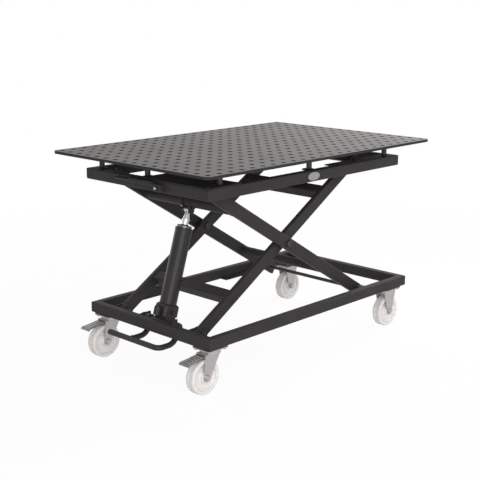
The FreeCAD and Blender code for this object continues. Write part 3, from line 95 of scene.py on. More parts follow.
# ------------------------------------------------------------------ shader graph
class Wire:
    """One output of a shader graph; arithmetic on it adds Math nodes."""

    def __init__(self, graph: "Graph", socket: bpy.types.NodeSocket) -> None:
        """Keeps the graph and the output socket.

        Args:
            graph: The graph that the socket belongs to.
            socket: The output socket.
        """
        self.graph = graph
        self.socket = socket

    def _math(self, operation: str, *values: Number) -> "Wire":
        """Adds one Math node.

        Args:
            operation: Blender's name of the operation.
            values: The node's inputs in order.

        Returns:
            The node's output.
        """
        return self.graph.node("ShaderNodeMath", {"operation": operation}, dict(enumerate(values)))

    def __add__(self, other: Number) -> "Wire":
        """Sum."""
        return self._math("ADD", self, other)

    __radd__ = __add__

    def __sub__(self, other: Number) -> "Wire":
        """Difference."""
        return self._math("SUBTRACT", self, other)

    def __rsub__(self, other: float) -> "Wire":
        """Difference from a number."""
        return self._math("SUBTRACT", other, self)

    def __mul__(self, other: Number) -> "Wire":
        """Product."""
        return self._math("MULTIPLY", self, other)

    __rmul__ = __mul__

    def __truediv__(self, other: Number) -> "Wire":
        """Quotient."""
        return self._math("DIVIDE", self, other)

    def fraction(self) -> "Wire":
        """The part after the decimal point."""
        return self._math("FRACT", self)

    def sine(self) -> "Wire":
        """Sine of this value in radians."""
        return self._math("SINE", self)

    def most(self, other: Number) -> "Wire":
        """The larger of two values."""
        return self._math("MAXIMUM", self, other)

    def reach(self, other: "Wire") -> "Wire":
        """Distance from the origin of a point with these two coordinates."""
        return self._math("POWER", self * self + other * other, 0.5)

    def step(self, low: float, high: float) -> "Wire":
        """Makes a smooth step from 0 at low to 1 at high.

        Args:
            low: Value that gives 0.
            high: Value that gives 1.

        Returns:
            The stepped value.
        """
        return self.graph.node("ShaderNodeMapRange", {"interpolation_type": "SMOOTHSTEP"},
                               {"Value": self, "From Min": low, "From Max": high})


class Graph:
    """The node tree of a material or a world, and the nodes that the finishes share."""

    def __init__(self, owner: Union[bpy.types.Material, bpy.types.World]) -> None:
        """Empties the owner's node tree.

        Args:
            owner: The new material or world.
        """
        owner.use_nodes = True
        self.owner = owner
        self.tree = owner.node_tree
        self.tree.nodes.clear()

    def node(self, kind: str, settings: Optional[dict] = None, inputs: Optional[dict] = None,
             output: Union[int, str] = 0) -> Wire:
        """Adds a node.

        Args:
            kind: Blender's node type.
            settings: Properties of the node, set first.
            inputs: Values or wires by socket name or number.
            output: Which output to return.

        Returns:
            The chosen output.
        """
        made = self.tree.nodes.new(kind)
        for key, value in (settings or {}).items():
            setattr(made, key, value)
        for key, value in (inputs or {}).items():
            if isinstance(value, Wire):
                self.tree.links.new(value.socket, made.inputs[key])
            else:
                made.inputs[key].default_value = value
        return Wire(self, made.outputs[output])

    def close(self, shader: Wire, kind: str = "ShaderNodeOutputMaterial") -> bpy.types.ID:
        """Sends a shader to the surface.

        Args:
            shader: The shader's output.
            kind: Blender's type of the output node.

        Returns:
            The finished material or world.
        """
        out = self.tree.nodes.new(kind)
        self.tree.links.new(shader.socket, out.inputs["Surface"])
        return self.owner

    def place(self) -> Wire:
        """Object coordinates, which are those of the shared frame in metres."""
        return self.node("ShaderNodeTexCoord", output="Object")

    def axes(self) -> tuple[Wire, Wire, Wire]:
        """Object coordinates as three numbers."""
        place = self.place()
        return tuple(self.node("ShaderNodeSeparateXYZ", {}, {0: place}, axis) for axis in "XYZ")

    def seen(self) -> Wire:
        """Tells the rays that show a background from those that only light.

        Returns:
            1 for rays from the camera, off gloss and through glass, otherwise 0.
        """
        camera, gloss, glass = [self.node("ShaderNodeLightPath", output=ray) for ray in (
            "Is Camera Ray", "Is Glossy Ray", "Is Transmission Ray")]
        return camera.most(gloss).most(glass)

    def noise(self, scale: float, detail: float = 2.0, stretch: Point = (1.0, 1.0, 1.0)) -> Wire:
        """Lays noise over Object coordinates.

        Args:
            scale: Features per metre.
            detail: Octaves.
            stretch: Factor on each axis.

        Returns:
            The noise from 0 to 1.
        """
        scaled = self.node("ShaderNodeMapping", inputs={"Vector": self.place(), "Scale": stretch})
        return self.node("ShaderNodeTexNoise", {},
                         {"Vector": scaled, "Scale": scale, "Detail": detail}, "Fac")

    def mix(self, factor: Number, low: Paint, high: Paint) -> Wire:
        """Mixes two colours.

        Args:
            factor: 0 for low, 1 for high.
            low: First colour.
            high: Second colour.

        Returns:
            The mixed colour.
        """
        ends = [value if isinstance(value, Wire) else (*value, 1.0) for value in (low, high)]
        return self.node("ShaderNodeMix", {"data_type": "RGBA"},
                         {0: factor, 6: ends[0], 7: ends[1]}, 2)

    def soft_normal(self, radius: float) -> Wire:
        """The normal with every edge softened by a radius in metres."""
        return self.node("ShaderNodeBevel", {"samples": 4}, {"Radius": radius})

    def edge_mask(self, radius: float) -> Wire:
        """Finds the convex and hollow edges.

        Args:
            radius: How far the mask reaches from the edge, in metres.

        Returns:
            1 close to an edge, 0 on flat faces.
        """
        own_normal = self.node("ShaderNodeNewGeometry", output="Normal")
        likeness = self.node("ShaderNodeVectorMath", {"operation": "DOT_PRODUCT"},
                             {0: self.soft_normal(radius), 1: own_normal}, "Value")
        return (1.0 - likeness).step(low=0.02, high=0.22)


# ------------------------------------------------------------------ finishes
@dataclass(frozen=True)
class Finish:
    """A surface finish.

    Attributes:
        name: The material's name.
        colour: Base colour, linear.
        roughness: Mean roughness.
        metallic: 0 for paint or plastic, 1 for bare metal.
        specular: Specular level of the shader.
        softening: Radius of the softened edges in metres.
        shades: Factors on the colour at the two ends of its clouds.
    """

    name: str
    colour: Colour
    roughness: float = 0.5
    metallic: float = 0.0
    specular: float = 0.5
    softening: float = 0.0012
    shades: tuple[float, float] = (1.0, 1.0)

    def surface(self, graph: Graph) -> dict:
        """Makes the shader's inputs that vary over the surface; each finish has its own.

        Args:
            graph: The material's graph.

        Returns:
            The inputs by socket name.
        """
        raise NotImplementedError

    def fixed(self) -> dict:
        """The shader's inputs that are the same all over."""
        return {"Metallic": self.metallic, "Specular IOR Level": self.specular,
                "Roughness": self.roughness}

    def material(self) -> bpy.types.Material:
        """Builds the material.

        Returns:
            The finished material.
        """
        graph = Graph(bpy.data.materials.new(self.name))
        inputs = {**self.fixed(), **self.surface(graph)}
        return graph.close(graph.node("ShaderNodeBsdfPrincipled", inputs=inputs))

    def shaded(self, amount: float) -> Colour:
        """The base colour made lighter or darker by a factor."""
        return tuple(min(1.0, channel * amount) for channel in self.colour)

    def clouded(self, graph: Graph, cloud: Wire) -> Wire:
        """The base colour between its two shades, by a cloud from 0 to 1."""
        return graph.mix(cloud, self.shaded(self.shades[0]), self.shaded(self.shades[1]))

    def swung(self, wave: Wire, swing: float) -> Wire:
        """The mean roughness, swung up and down by a wave from 0 to 1."""
        return self.roughness + (wave - 0.5) * swing

    def relief(self, graph: Graph, height: Wire, depth: float, strength: float) -> Wire:
        """Bumps the softened normal.

        Args:
            graph: The material's graph.
            height: Height from 0 to 1.
            depth: What a height of 1 stands for, in metres.
            strength: Share of the effect.

        Returns:
            The bumped normal.
        """
        return graph.node("ShaderNodeBump", inputs={
            "Height": height, "Distance": depth, "Strength": strength,
            "Normal": graph.soft_normal(self.softening)})


@dataclass(frozen=True)
class PowderCoat(Finish):
    """Fine-textured powder coat whose edges are coloured lighter in patches, as wear and as painted
    highlight.

    Attributes:
        grain: Features of the texture per metre.
        depth: Height of the texture in metres.
        edge_wear_and_highlight: Factor on the colour along those edges, for wear and painted
            highlight.
        clouds: Dust clouds per metre.
        patches: Patches of wear and painted highlight along the edges, per metre.
    """

    shades: tuple[float, float] = (0.9, 1.12)
    grain: float = 900.0
    depth: float = 0.00012
    edge_wear_and_highlight: float = 1.9
    clouds: float = 9.0
    patches: float = 55.0

    def surface(self, graph: Graph) -> dict:
        """Makes orange-peel texture, faint dust clouds, and edges made lighter in patches as wear
        and painted highlight.

        Args:
            graph: The material's graph.

        Returns:
            The inputs by socket name.
        """
        peel = graph.noise(self.grain, detail=3.0)
        cloud = graph.noise(self.clouds, detail=4.0).step(low=0.3, high=0.75)
        worn = graph.noise(self.patches, detail=4.0).step(low=0.35, high=0.7)
        # Painted highlight and wear: along the edges, in patches, the colour is made lighter.
        rubbed_and_highlit = graph.edge_mask(self.softening * 0.8) * worn
        return {
            "Base Color": graph.mix(rubbed_and_highlit, self.clouded(graph, cloud), self.shaded(self.edge_wear_and_highlight)),
            "Roughness": self.swung(peel, swing=0.16) - rubbed_and_highlit * 0.1,
            "Normal": self.relief(graph, peel, self.depth, strength=0.35),
        }


@dataclass(frozen=True)
class GroundTop(Finish):
    """Ground upper face of the perforated top; its edges and hole walls are coloured dark, as dark
    nitride and as painted shade.

    Attributes:
        pitch: Hole to hole in metres.
        mouth: Radius of a hole in metres.
        shaded_rim: Width of the dark ring round a hole, a chamfer painted as shade, in metres.
        dark_share: Share of that ring that is fully dark.
        skin_and_shade: Colour of the edges and hole walls, as dark nitride and as painted shade.
        mouth_shade: Factor on that colour in a hole and on its ring, for deeper painted shade.
        offset: A whole number of pitches that makes every coordinate positive, in metres.
    """

    shades: tuple[float, float] = (0.93, 1.07)
    pitch: float = 0.05
    mouth: float = 0.008
    shaded_rim: float = 0.0019
    dark_share: float = 0.6
    skin_and_shade: Colour = (0.024, 0.0215, 0.022)
    mouth_shade: float = 0.3
    offset: float = 10.0

    def mouths(self, graph: Graph) -> Wire:
        """Finds the holes and the rings of painted shade round them.

        Args:
            graph: The material's graph.

        Returns:
            1 in a hole and on its ring, 0 elsewhere.
        """
        x, y, _ = graph.axes()
        across = [((axis + self.offset) / self.pitch).fraction() - 0.5 for axis in (x, y)]
        reach = across[0].reach(across[1]) * self.pitch
        return 1.0 - reach.step(low=self.mouth + self.shaded_rim * self.dark_share,
                                high=self.mouth + self.shaded_rim)

    def surface(self, graph: Graph) -> dict:
        """Makes ground grain along the plate, soft clouds, and the dark colour off the upper face,
        which is painted shade in part.

        Args:
            graph: The material's graph.

        Returns:
            The inputs by socket name.
        """
        normal = graph.node("ShaderNodeNewGeometry", output="True Normal")
        upright = graph.node("ShaderNodeSeparateXYZ", {}, {0: normal}, "Z")
        mouth = self.mouths(graph)
        grain = graph.noise(scale=140.0, detail=6.0, stretch=(0.12, 1.0, 1.0))
        cloud = graph.noise(scale=5.0, detail=5.0).step(low=0.25, high=0.8)
        ground = upright.step(low=0.4, high=0.6) * (1.0 - mouth)
        steel = graph.mix(grain * 0.25, self.clouded(graph, cloud), self.shaded(0.8))
        # Painted shade: edges and hole walls take a dark colour that also stands for dark nitride;
        # holes and their rings take a darker one.
        dark = graph.mix(mouth, self.skin_and_shade, tuple(part * self.mouth_shade for part in self.skin_and_shade))
        return {
            "Base Color": graph.mix(ground, dark, steel),
            "Metallic": self.metallic * ground,
            "Roughness": self.swung(grain, swing=0.18),
            "Normal": self.relief(graph, (1.0 - mouth) + grain * 0.05, depth=0.0005, strength=0.6),
        }


@dataclass(frozen=True)
class ZincPlate(Finish):
    """Bright zinc plating with a faint spangle."""

    shades: tuple[float, float] = (0.86, 1.1)

    def surface(self, graph: Graph) -> dict:
        """Makes a soft spangle in colour and gloss, and a darker colour along convex and hollow
        edges.

        Args:
            graph: The material's graph.

        Returns:
            The inputs by socket name.
        """
        spangle = graph.noise(scale=160.0, detail=3.0)
        # The colour is darker along convex and hollow edges.
        edge_darkening = graph.edge_mask(self.softening * 2.0) * 0.4
        return {
            "Base Color": graph.mix(edge_darkening, self.clouded(graph, spangle), self.shaded(0.7)),
            "Roughness": self.swung(spangle, swing=0.2),
            "Normal": self.relief(graph, spangle, depth=0.0001, strength=0.3),
        }


@dataclass(frozen=True)
class MachinedSteel(Finish):
    """Turned or ground steel with fine tool marks.

    Attributes:
        marks: Tool marks per metre.
        stretch: How the marks run, as a factor on each axis.
    """

    shades: tuple[float, float] = (1.0, 0.75)
    marks: float = 700.0
    stretch: Point = (1.0, 1.0, 1.0)

    def surface(self, graph: Graph) -> dict:
        """Makes tool marks in the gloss and a slight stain.

        Args:
            graph: The material's graph.

        Returns:
            The inputs by socket name.
        """
        marks = graph.noise(self.marks, stretch=self.stretch)
        stain = graph.noise(scale=30.0, detail=4.0).step(low=0.4, high=0.8)
        return {
            "Base Color": self.clouded(graph, stain),
            "Roughness": self.swung(marks, swing=0.18) + stain * 0.08,
            "Normal": self.relief(graph, marks, depth=0.00005, strength=0.4),
        }


@dataclass(frozen=True)
class MouldedNylon(Finish):
    """White polyamide of a wheel, with moulding rings and scuffs on its tread.

    Attributes:
        hub: The wheel's centre in metres.
        tread: Radius from which the tread is scuffed, in metres.
        tread_blend: Width over which the scuffs set in, in metres.
        rings: Moulding rings, in radians per metre.
        ring_depth: Height of the rings in metres.
    """

    shades: tuple[float, float] = (0.97, 1.02)
    hub: Point = (0.0, 0.0, 0.0)
    tread: float = 0.0605
    tread_blend: float = 0.0012
    rings: float = 5200.0
    ring_depth: float = 0.00003

    def surface(self, graph: Graph) -> dict:
        """Makes rings about the hub, and a slightly grey, duller tread.

        Args:
            graph: The material's graph.

        Returns:
            The inputs by socket name.
        """
        x, _, z = graph.axes()
        reach = (x - self.hub[0]).reach(z - self.hub[2])
        rings = (reach * self.rings).sine() * 0.5 + 0.5
        tread = reach.step(self.tread, self.tread + self.tread_blend)
        worn = graph.noise(scale=220.0, detail=4.0, stretch=(1.0, 0.3, 1.0))
        scuffs = worn.step(low=0.45, high=0.75) * tread
        milk = graph.noise(scale=45.0)
        return {
            "Base Color": graph.mix(scuffs, self.clouded(graph, milk), self.shaded(0.74)),
            "Roughness": self.roughness + scuffs * 0.25 + (milk - 0.5) * 0.08,
            "Normal": self.relief(graph, rings, self.ring_depth, strength=0.35),
        }

    def fixed(self) -> dict:
        """The same, and the glow of light scattered in the plastic."""
        return {**super().fixed(), "Subsurface Weight": 0.12,
                "Subsurface Radius": (0.006, 0.006, 0.005)}


@dataclass(frozen=True)
class LeverCoat(PowderCoat):
    """Powder-coated lever whose tip beyond the grip is bare wire.

    Attributes:
        tip_start: Where the wire leaves the grip along Y, in metres.
        tip_blend: Width over which the coat ends, in metres.
        wire: Colour of the wire.
    """

    tip_start: float = 0.062
    tip_blend: float = 0.001
    wire: Colour = (0.06, 0.057, 0.055)

    def surface(self, graph: Graph) -> dict:
        """Makes the coat, and the wire's own colour past the grip.

        Args:
            graph: The material's graph.

        Returns:
            The inputs by socket name.
        """
        made = super().surface(graph)
        _, y, _ = graph.axes()
        tip = y.step(self.tip_start, self.tip_start + self.tip_blend)
        made["Base Color"] = graph.mix(tip, made["Base Color"], self.wire)
        made["Metallic"] = tip * 0.8
        return made


@dataclass(frozen=True)
class MouldedRubber(Finish):
    """Matt black rubber or soft plastic with a fine stipple."""

    shades: tuple[float, float] = (1.0, 1.35)

    def surface(self, graph: Graph) -> dict:
        """Makes a fine stipple and a little bloom.

        Args:
            graph: The material's graph.

        Returns:
            The inputs by socket name.
        """
        stipple = graph.noise(scale=1500.0, detail=1.0)
        bloom = graph.noise(scale=60.0, detail=3.0).step(low=0.4, high=0.8)
        return {
            "Base Color": self.clouded(graph, bloom),
            "Roughness": self.swung(stipple, swing=0.1),
            "Normal": self.relief(graph, stipple, depth=0.00012, strength=0.5),
        }


@dataclass(frozen=True)
class StudioFloor(Finish):
    """Pale floor that fades into the white background and keeps a soft shadow.

    Attributes:
        kept: Share of the floor's own shading that the camera sees under the object.
        fade_start: Where the fade into white begins, in metres from the origin.
        fade_end: Where it ends.
    """

    kept: float = 0.055
    fade_start: float = 1.2
    fade_end: float = 3.2

    def material(self) -> bpy.types.Material:
        """Builds the floor's material.

        Returns:
            The finished material.
        """
        graph = Graph(bpy.data.materials.new(self.name))
        x, y, _ = graph.axes()
        own = self.kept * (1.0 - x.reach(y).step(self.fade_start, self.fade_end))
        white_share = graph.seen() * (1.0 - own)
        paint = graph.node("ShaderNodeBsdfDiffuse", inputs={"Color": (*self.colour, 1.0)})
        white = graph.node("ShaderNodeEmission", inputs={"Color": WHITE, "Strength": 1.0})
        return graph.close(graph.node("ShaderNodeMixShader",
                                      inputs={0: white_share, 1: paint, 2: white}))


FRAME_COAT = PowderCoat("frame_powder_coat", (0.0315, 0.027, 0.028), roughness=0.55,
                        specular=0.13, softening=0.0026)
JACK_COAT = PowderCoat("jack_paint", (0.0245, 0.0215, 0.0225), roughness=0.4, specular=0.2,
                       grain=500.0, depth=0.00008)
PEDAL_COAT = PowderCoat("pedal_powder_coat", (0.026, 0.024, 0.0245), roughness=0.5,
                        specular=0.2, edge_wear_and_highlight=2.6)
LEVER_COAT = LeverCoat("lever_coat", (0.028, 0.025, 0.0255), roughness=0.5, specular=0.2)
TOP_STEEL = GroundTop("nitrided_top", (0.163, 0.153, 0.152), roughness=0.64, metallic=0.12,
                      specular=0.12, softening=0.0008)
POST_STEEL = MachinedSteel("post_steel", (0.05, 0.046, 0.047), roughness=0.42, metallic=0.3,
                           specular=0.2, stretch=(0.2, 0.2, 1.0))
PIN_STEEL = MachinedSteel("blackened_pin_steel", (0.045, 0.041, 0.041), roughness=0.4,
                          metallic=0.4, specular=0.2)
ROLLER_STEEL = MachinedSteel("roller_steel", (0.13, 0.125, 0.125), roughness=0.38, metallic=0.6)
BRONZE = MachinedSteel("bush_bronze", (0.10, 0.078, 0.06), roughness=0.45, metallic=0.7)
ZINC = ZincPlate("caster_zinc", (0.425, 0.41, 0.405), roughness=0.38, metallic=0.7,
                 softening=0.0009)
TREAD_ZINC = ZincPlate("tread_zinc", (0.19, 0.18, 0.18), roughness=0.42, metallic=0.6,
                       softening=0.0009)
CHROME = MachinedSteel("hard_chrome", (0.56, 0.55, 0.55), roughness=0.3, metallic=0.9,
                       marks=1400.0, stretch=(0.15, 0.15, 1.0), softening=0.0007)
GLAND_STEEL = MachinedSteel("gland_steel", (0.13, 0.125, 0.125), roughness=0.34, metallic=0.7)
NYLON = MouldedNylon("nylon", (0.70, 0.672, 0.655), roughness=0.4, softening=0.0008)
GRIP_RUBBER = MouldedRubber("grip_rubber", (0.012, 0.011, 0.011), roughness=0.62, specular=0.3)
SEAL_RUBBER = MouldedRubber("seal_rubber", (0.012, 0.012, 0.012), roughness=0.5,
                            softening=0.0003)
BADGE_METAL = ZincPlate("badge_satin", (0.29, 0.28, 0.28), roughness=0.42, metallic=0.35,
                        softening=0.0003)
FLOOR = StudioFloor("studio_floor", (0.86, 0.86, 0.86))


# ------------------------------------------------------------------ shaping
def facing(direction: Point, origin: Point) -> Matrix:
    """Places a piece drawn along Z.

    Args:
        direction: Where its Z axis points.
        origin: Where its origin goes, in millimetres.

    Returns:
        The placing matrix.
    """
    turn = Vector((0.0, 0.0, 1.0)).rotation_difference(Vector(direction)).to_matrix().to_4x4()
    return Matrix.Translation(Vector(origin)) @ turn


def linked(name: str, data: bpy.types.ID) -> bpy.types.Object:
    """Puts a mesh, lamp or camera into the scene.

    Args:
        name: The object's name.
        data: What it shows.

    Returns:
        The new object.
    """
    made = bpy.data.objects.new(name, data)
    bpy.context.scene.collection.objects.link(made)
    return made


def rise(edge: bmesh.types.BMEdge) -> float:
    """How far an edge climbs along Z."""
    return abs(edge.verts[0].co.z - edge.verts[1].co.z)


def rod(length: float, radius: float, sides: int, cuts: int = 0) -> bmesh.types.BMesh:
    """Draws a closed rod along Z, with its middle at the origin.

    Args:
        length: Its length.
        radius: Its radius.
        sides: Faces round it.
        cuts: Cuts across it.

    Returns:
        The rod.
    """
    part = bmesh.new()
    bmesh.ops.create_cone(part, cap_ends=True, cap_tris=False, segments=sides, radius1=radius,
                          radius2=radius, depth=length)
    if cuts:
        lengthwise = [edge for edge in part.edges if rise(edge) > length / 2]
        bmesh.ops.subdivide_edges(part, edges=lengthwise, cuts=cuts, use_grid_fill=True)
    return part


def spin_closed(part: bmesh.types.BMesh, steps: int) -> None:
    """Spins a profile about Z into a closed ring.

    Args:
        part: The profile.
        steps: Faces round the axis.
    """
    bmesh.ops.spin(part, geom=part.verts[:] + part.edges[:], cent=(0, 0, 0), axis=(0, 0, 1),
                   angle=math.tau, steps=steps, use_merge=True)
    bmesh.ops.remove_doubles(part, verts=part.verts, dist=MERGE_MM)


def grown(profile: Profile, radius: float) -> Profile:
    """A profile whose offsets from a radius become radii."""
    return [(radius + offset, height) for offset, height in profile]


class Shape:
    """A mesh in the making, in millimetres."""

    def __init__(self) -> None:
        """Starts empty."""
        self.mesh = bmesh.new()

    def take(self, part: bmesh.types.BMesh, place: Matrix) -> None:
        """Adds a finished part.

        Args:
            part: The part, drawn along Z at the origin; it is freed.
            place: Where it goes.
        """
        bmesh.ops.transform(part, matrix=place, verts=part.verts)
        bmesh.ops.recalc_face_normals(part, faces=part.faces)
        carrier = bpy.data.meshes.new("carrier")
        part.to_mesh(carrier)
        part.free()
        self.mesh.from_mesh(carrier)
        bpy.data.meshes.remove(carrier)

    def turned(self, profile: Profile, place: Matrix, steps: int, rounding: float) -> None:
        """Adds a turned piece.

        Args:
            profile: Closed loop of (radius, height) points.
            place: Where it goes; the axis is Z.
            steps: Faces round the axis.
            rounding: Radius of the profile's corners.
        """
        part = bmesh.new()
        points = [part.verts.new((radius, 0.0, height)) for radius, height in profile]
        for first, second in zip(points, points[1:] + points[:1]):
            part.edges.new((first, second))
        bmesh.ops.bevel(part, geom=points, offset=rounding, segments=2, profile=0.5,
                        affect="VERTICES", material=-1)
        spin_closed(part, steps)
        self.take(part, place)

    def bead(self, start: Point, end: Point, radius: float = 2.4, ripple: float = 2.6) -> None:
        """Adds a straight weld bead with the ripples of its passes.

        Args:
            start: One end, in millimetres.
            end: The other end.
            radius: The bead's radius.
            ripple: Length of one ripple.
        """
        start, end = Vector(start), Vector(end)
        run = end - start
        half = run.length / 2
        cuts = max(2, round(run.length / ripple) * 2 - 1)
        part = rod(run.length, radius, BEAD_SIDES, cuts)
        for vert in part.verts:
            phase = (vert.co.z + half) / run.length * (cuts + 1) / 2
            swell = 1.0 + RIPPLE_SWELL * math.cos(math.tau * phase)
            taper = min(1.0, BEAD_END + (half - abs(vert.co.z)) / (2 * radius))
            vert.co.x *= swell * taper
            vert.co.y *= swell * taper
        self.take(part, facing(run.normalized(), (start + end) / 2))

    def ring_bead(self, major: float, place: Matrix, radius: float = 2.2,
                  ripple: float = 2.6) -> None:
        """Adds a weld bead round a tube.

        Args:
            major: Radius of the tube.
            place: Where it goes; the tube's axis is Z.
            radius: The bead's radius.
            ripple: Length of one ripple.
        """
        part = bmesh.new()
        bmesh.ops.create_circle(part, segments=BEAD_SIDES, radius=radius)
        bmesh.ops.rotate(part, verts=part.verts, cent=(0, 0, 0),
                         matrix=Matrix.Rotation(math.pi / 2, 3, "X"))
        bmesh.ops.translate(part, verts=part.verts, vec=(major, 0, 0))
        ripples = round(math.tau * major / ripple)
        spin_closed(part, ripples * 2)
        for vert in part.verts:
            angle = math.atan2(vert.co.y, vert.co.x)
            core = Vector((math.cos(angle) * major, math.sin(angle) * major, 0.0))
            swell = 1.0 + RIPPLE_SWELL * math.cos(angle * ripples)
            vert.co = core + (vert.co - core) * swell
        self.take(part, place)

    def rib(self, start: Point, end: Point, radius: float) -> None:
        """Adds a round rib with domed ends.

        Args:
            start: One end, in millimetres.
            end: The other end.
            radius: The rib's radius.
        """
        start, end = Vector(start), Vector(end)
        run = end - start
        part = rod(run.length, radius, RIB_SIDES)
        rims = [edge for edge in part.edges if rise(edge) < radius / 10]
        bmesh.ops.bevel(part, geom=rims, offset=radius * RIB_DOME, segments=3, profile=0.5,
                        affect="EDGES", material=-1)
        self.take(part, facing(run.normalized(), (start + end) / 2))

    def piece(self, name: str, body: str, slot: str, material: bpy.types.Material,
              crease_deg: float = 38.0) -> bpy.types.Object:
        """Makes the object, dresses it and lets it ride on its body.

        Args:
            name: The piece's name.
            body: The body that carries it.
            slot: The record's material slot; not used.
            material: The piece's finish.
            crease_deg: Edges sharper than this stay sharp.

        Returns:
            The finished object.
        """
        bmesh.ops.scale(self.mesh, vec=(MM, MM, MM), verts=self.mesh.verts)
        mesh = bpy.data.meshes.new(name)
        self.mesh.to_mesh(mesh)
        self.mesh.free()
        mesh.shade_smooth()
        mesh.set_sharp_from_angle(angle=math.radians(crease_deg))
        mesh.materials.append(material)
        made = linked(name, mesh)
        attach(made, body)
        LOG.info("%s rides on %s with %d faces", name, body, len(mesh.polygons))
        return made


# ------------------------------------------------------------------ sub-assemblies, in millimetres
@dataclass
class FrameWelds:
    """Weld beads of one frame: in its corners, on its lugs and tracks, and on its pads or posts.

    Attributes:
        section: Which frame.
        coat: Material of the beads.
        bottom: Underside of the frame's tubes.
        rear: Inner face of the rear beam.
        track_z: Edge of the tracks' upright legs, which is welded to the rails.
        lug_faces: Faces of the welded lugs, from the centre line.
        lug_half: Half the height of a lug's weld.
        lug_middle: Height of the lugs' middle.
        front: Inner face of the front beam.
        inner: Inner faces of the rails, from the centre line.
        height: Height of the tubes.
        corner_gap: From a corner bead's end to the tube's face.
        corner_bead: Radius of a corner bead.
        track_start: Front end of the tracks.
        track_gap: From a track's ends to its stitches.
        stitches: Stitch welds on each track.
        stitch_length: Length of a stitch.
        stitch_bead: Radius of a stitch.
        stitch_sink: How far a stitch sinks into the rail.
        pad_rail: Ends in X of a front pad's bead on the rail.
        pad_front: Ends in Y of a front pad's bead on the front beam.
        pad_rear: Ends in Y of a rear pad's bead on the rear beam.
        post_places: Posts in X and Y.
        post_radius: Radius of a post.
        post_bead: Radius and ripple of a post's bead.
        shape: The beads so far.
    """

    section: Section
    coat: bpy.types.Material
    bottom: float
    rear: float
    track_z: float
    lug_faces: tuple[float, ...]
    lug_half: float
    lug_middle: float
    front: float = -485.0
    inner: float = 285.0
    height: float = 40.0
    corner_gap: float = 3.0
    corner_bead: float = 2.6
    track_start: float = 136.0
    track_gap: float = 10.0
    stitches: int = 4
    stitch_length: float = 28.0
    stitch_bead: float = 1.9
    stitch_sink: float = 0.6
    pad_rail: tuple[float, float] = (-480.0, -420.0)
    pad_front: tuple[float, float] = (280.0, 228.0)
    pad_rear: tuple[float, float] = (250.0, 228.0)
    post_places: tuple[tuple[float, float], ...] = (
        (25, -275), (475, -275), (-475, 25), (475, 25), (-475, 275), (25, 275), (475, 275))
    post_radius: float = 10.0
    post_bead: tuple[float, float] = (1.8, 2.2)
    shape: Shape = field(default_factory=Shape)

    def corners(self) -> None:
        """Adds upright beads inside the four mitred corners."""
        low, high = self.bottom + self.corner_gap, self.bottom + self.height - self.corner_gap
        for x in (self.front, self.rear):
            for side in Side:
                y = side * self.inner
                self.shape.bead((x, y, low), (x, y, high), self.corner_bead)

    def lugs(self) -> None:
        """Adds the upright beads that hold the lug plates to the front beam."""
        low, high = self.lug_middle - self.lug_half, self.lug_middle + self.lug_half
        for face in self.lug_faces:
            for side in Side:
                self.shape.bead((self.front, side * face, low), (self.front, side * face, high))

    def tracks(self) -> None:
        """Adds stitch welds along the lips of the tracks."""
        span = self.rear - self.track_start - self.stitch_length - 2 * self.track_gap
        for side in Side:
            y = side * (self.inner - self.stitch_sink)
            for count in range(self.stitches):
                x = self.track_start + self.track_gap + count * span / (self.stitches - 1)
                self.shape.bead((x, y, self.track_z), (x + self.stitch_length, y, self.track_z),
                                self.stitch_bead)

    def pads(self) -> None:
        """Adds the beads along the edges of the base's caster pads."""
        for side in Side:
            rail = [(x, side * self.inner, self.bottom) for x in self.pad_rail]
            front = [(self.front, side * y, self.bottom) for y in self.pad_front]
            rear = [(self.rear, side * y, self.bottom) for y in self.pad_rear]
            for ends in (rail, front, rear):
                self.shape.bead(*ends)

    def posts(self) -> None:
        """Adds ring beads round the feet of the table's posts."""
        for x, y in self.post_places:
            place = Matrix.Translation((x, y, self.bottom + self.height))
            self.shape.ring_bead(self.post_radius, place, *self.post_bead)

    def build(self) -> None:
        """Builds the frame's beads as one piece."""
        self.corners()
        self.lugs()
        self.tracks()
        if self.section is Section.BASE:
            self.pads()
        else:
            self.posts()
        name = self.section.value
        self.shape.piece(f"welds_{name}", name, "frame_coat", self.coat)


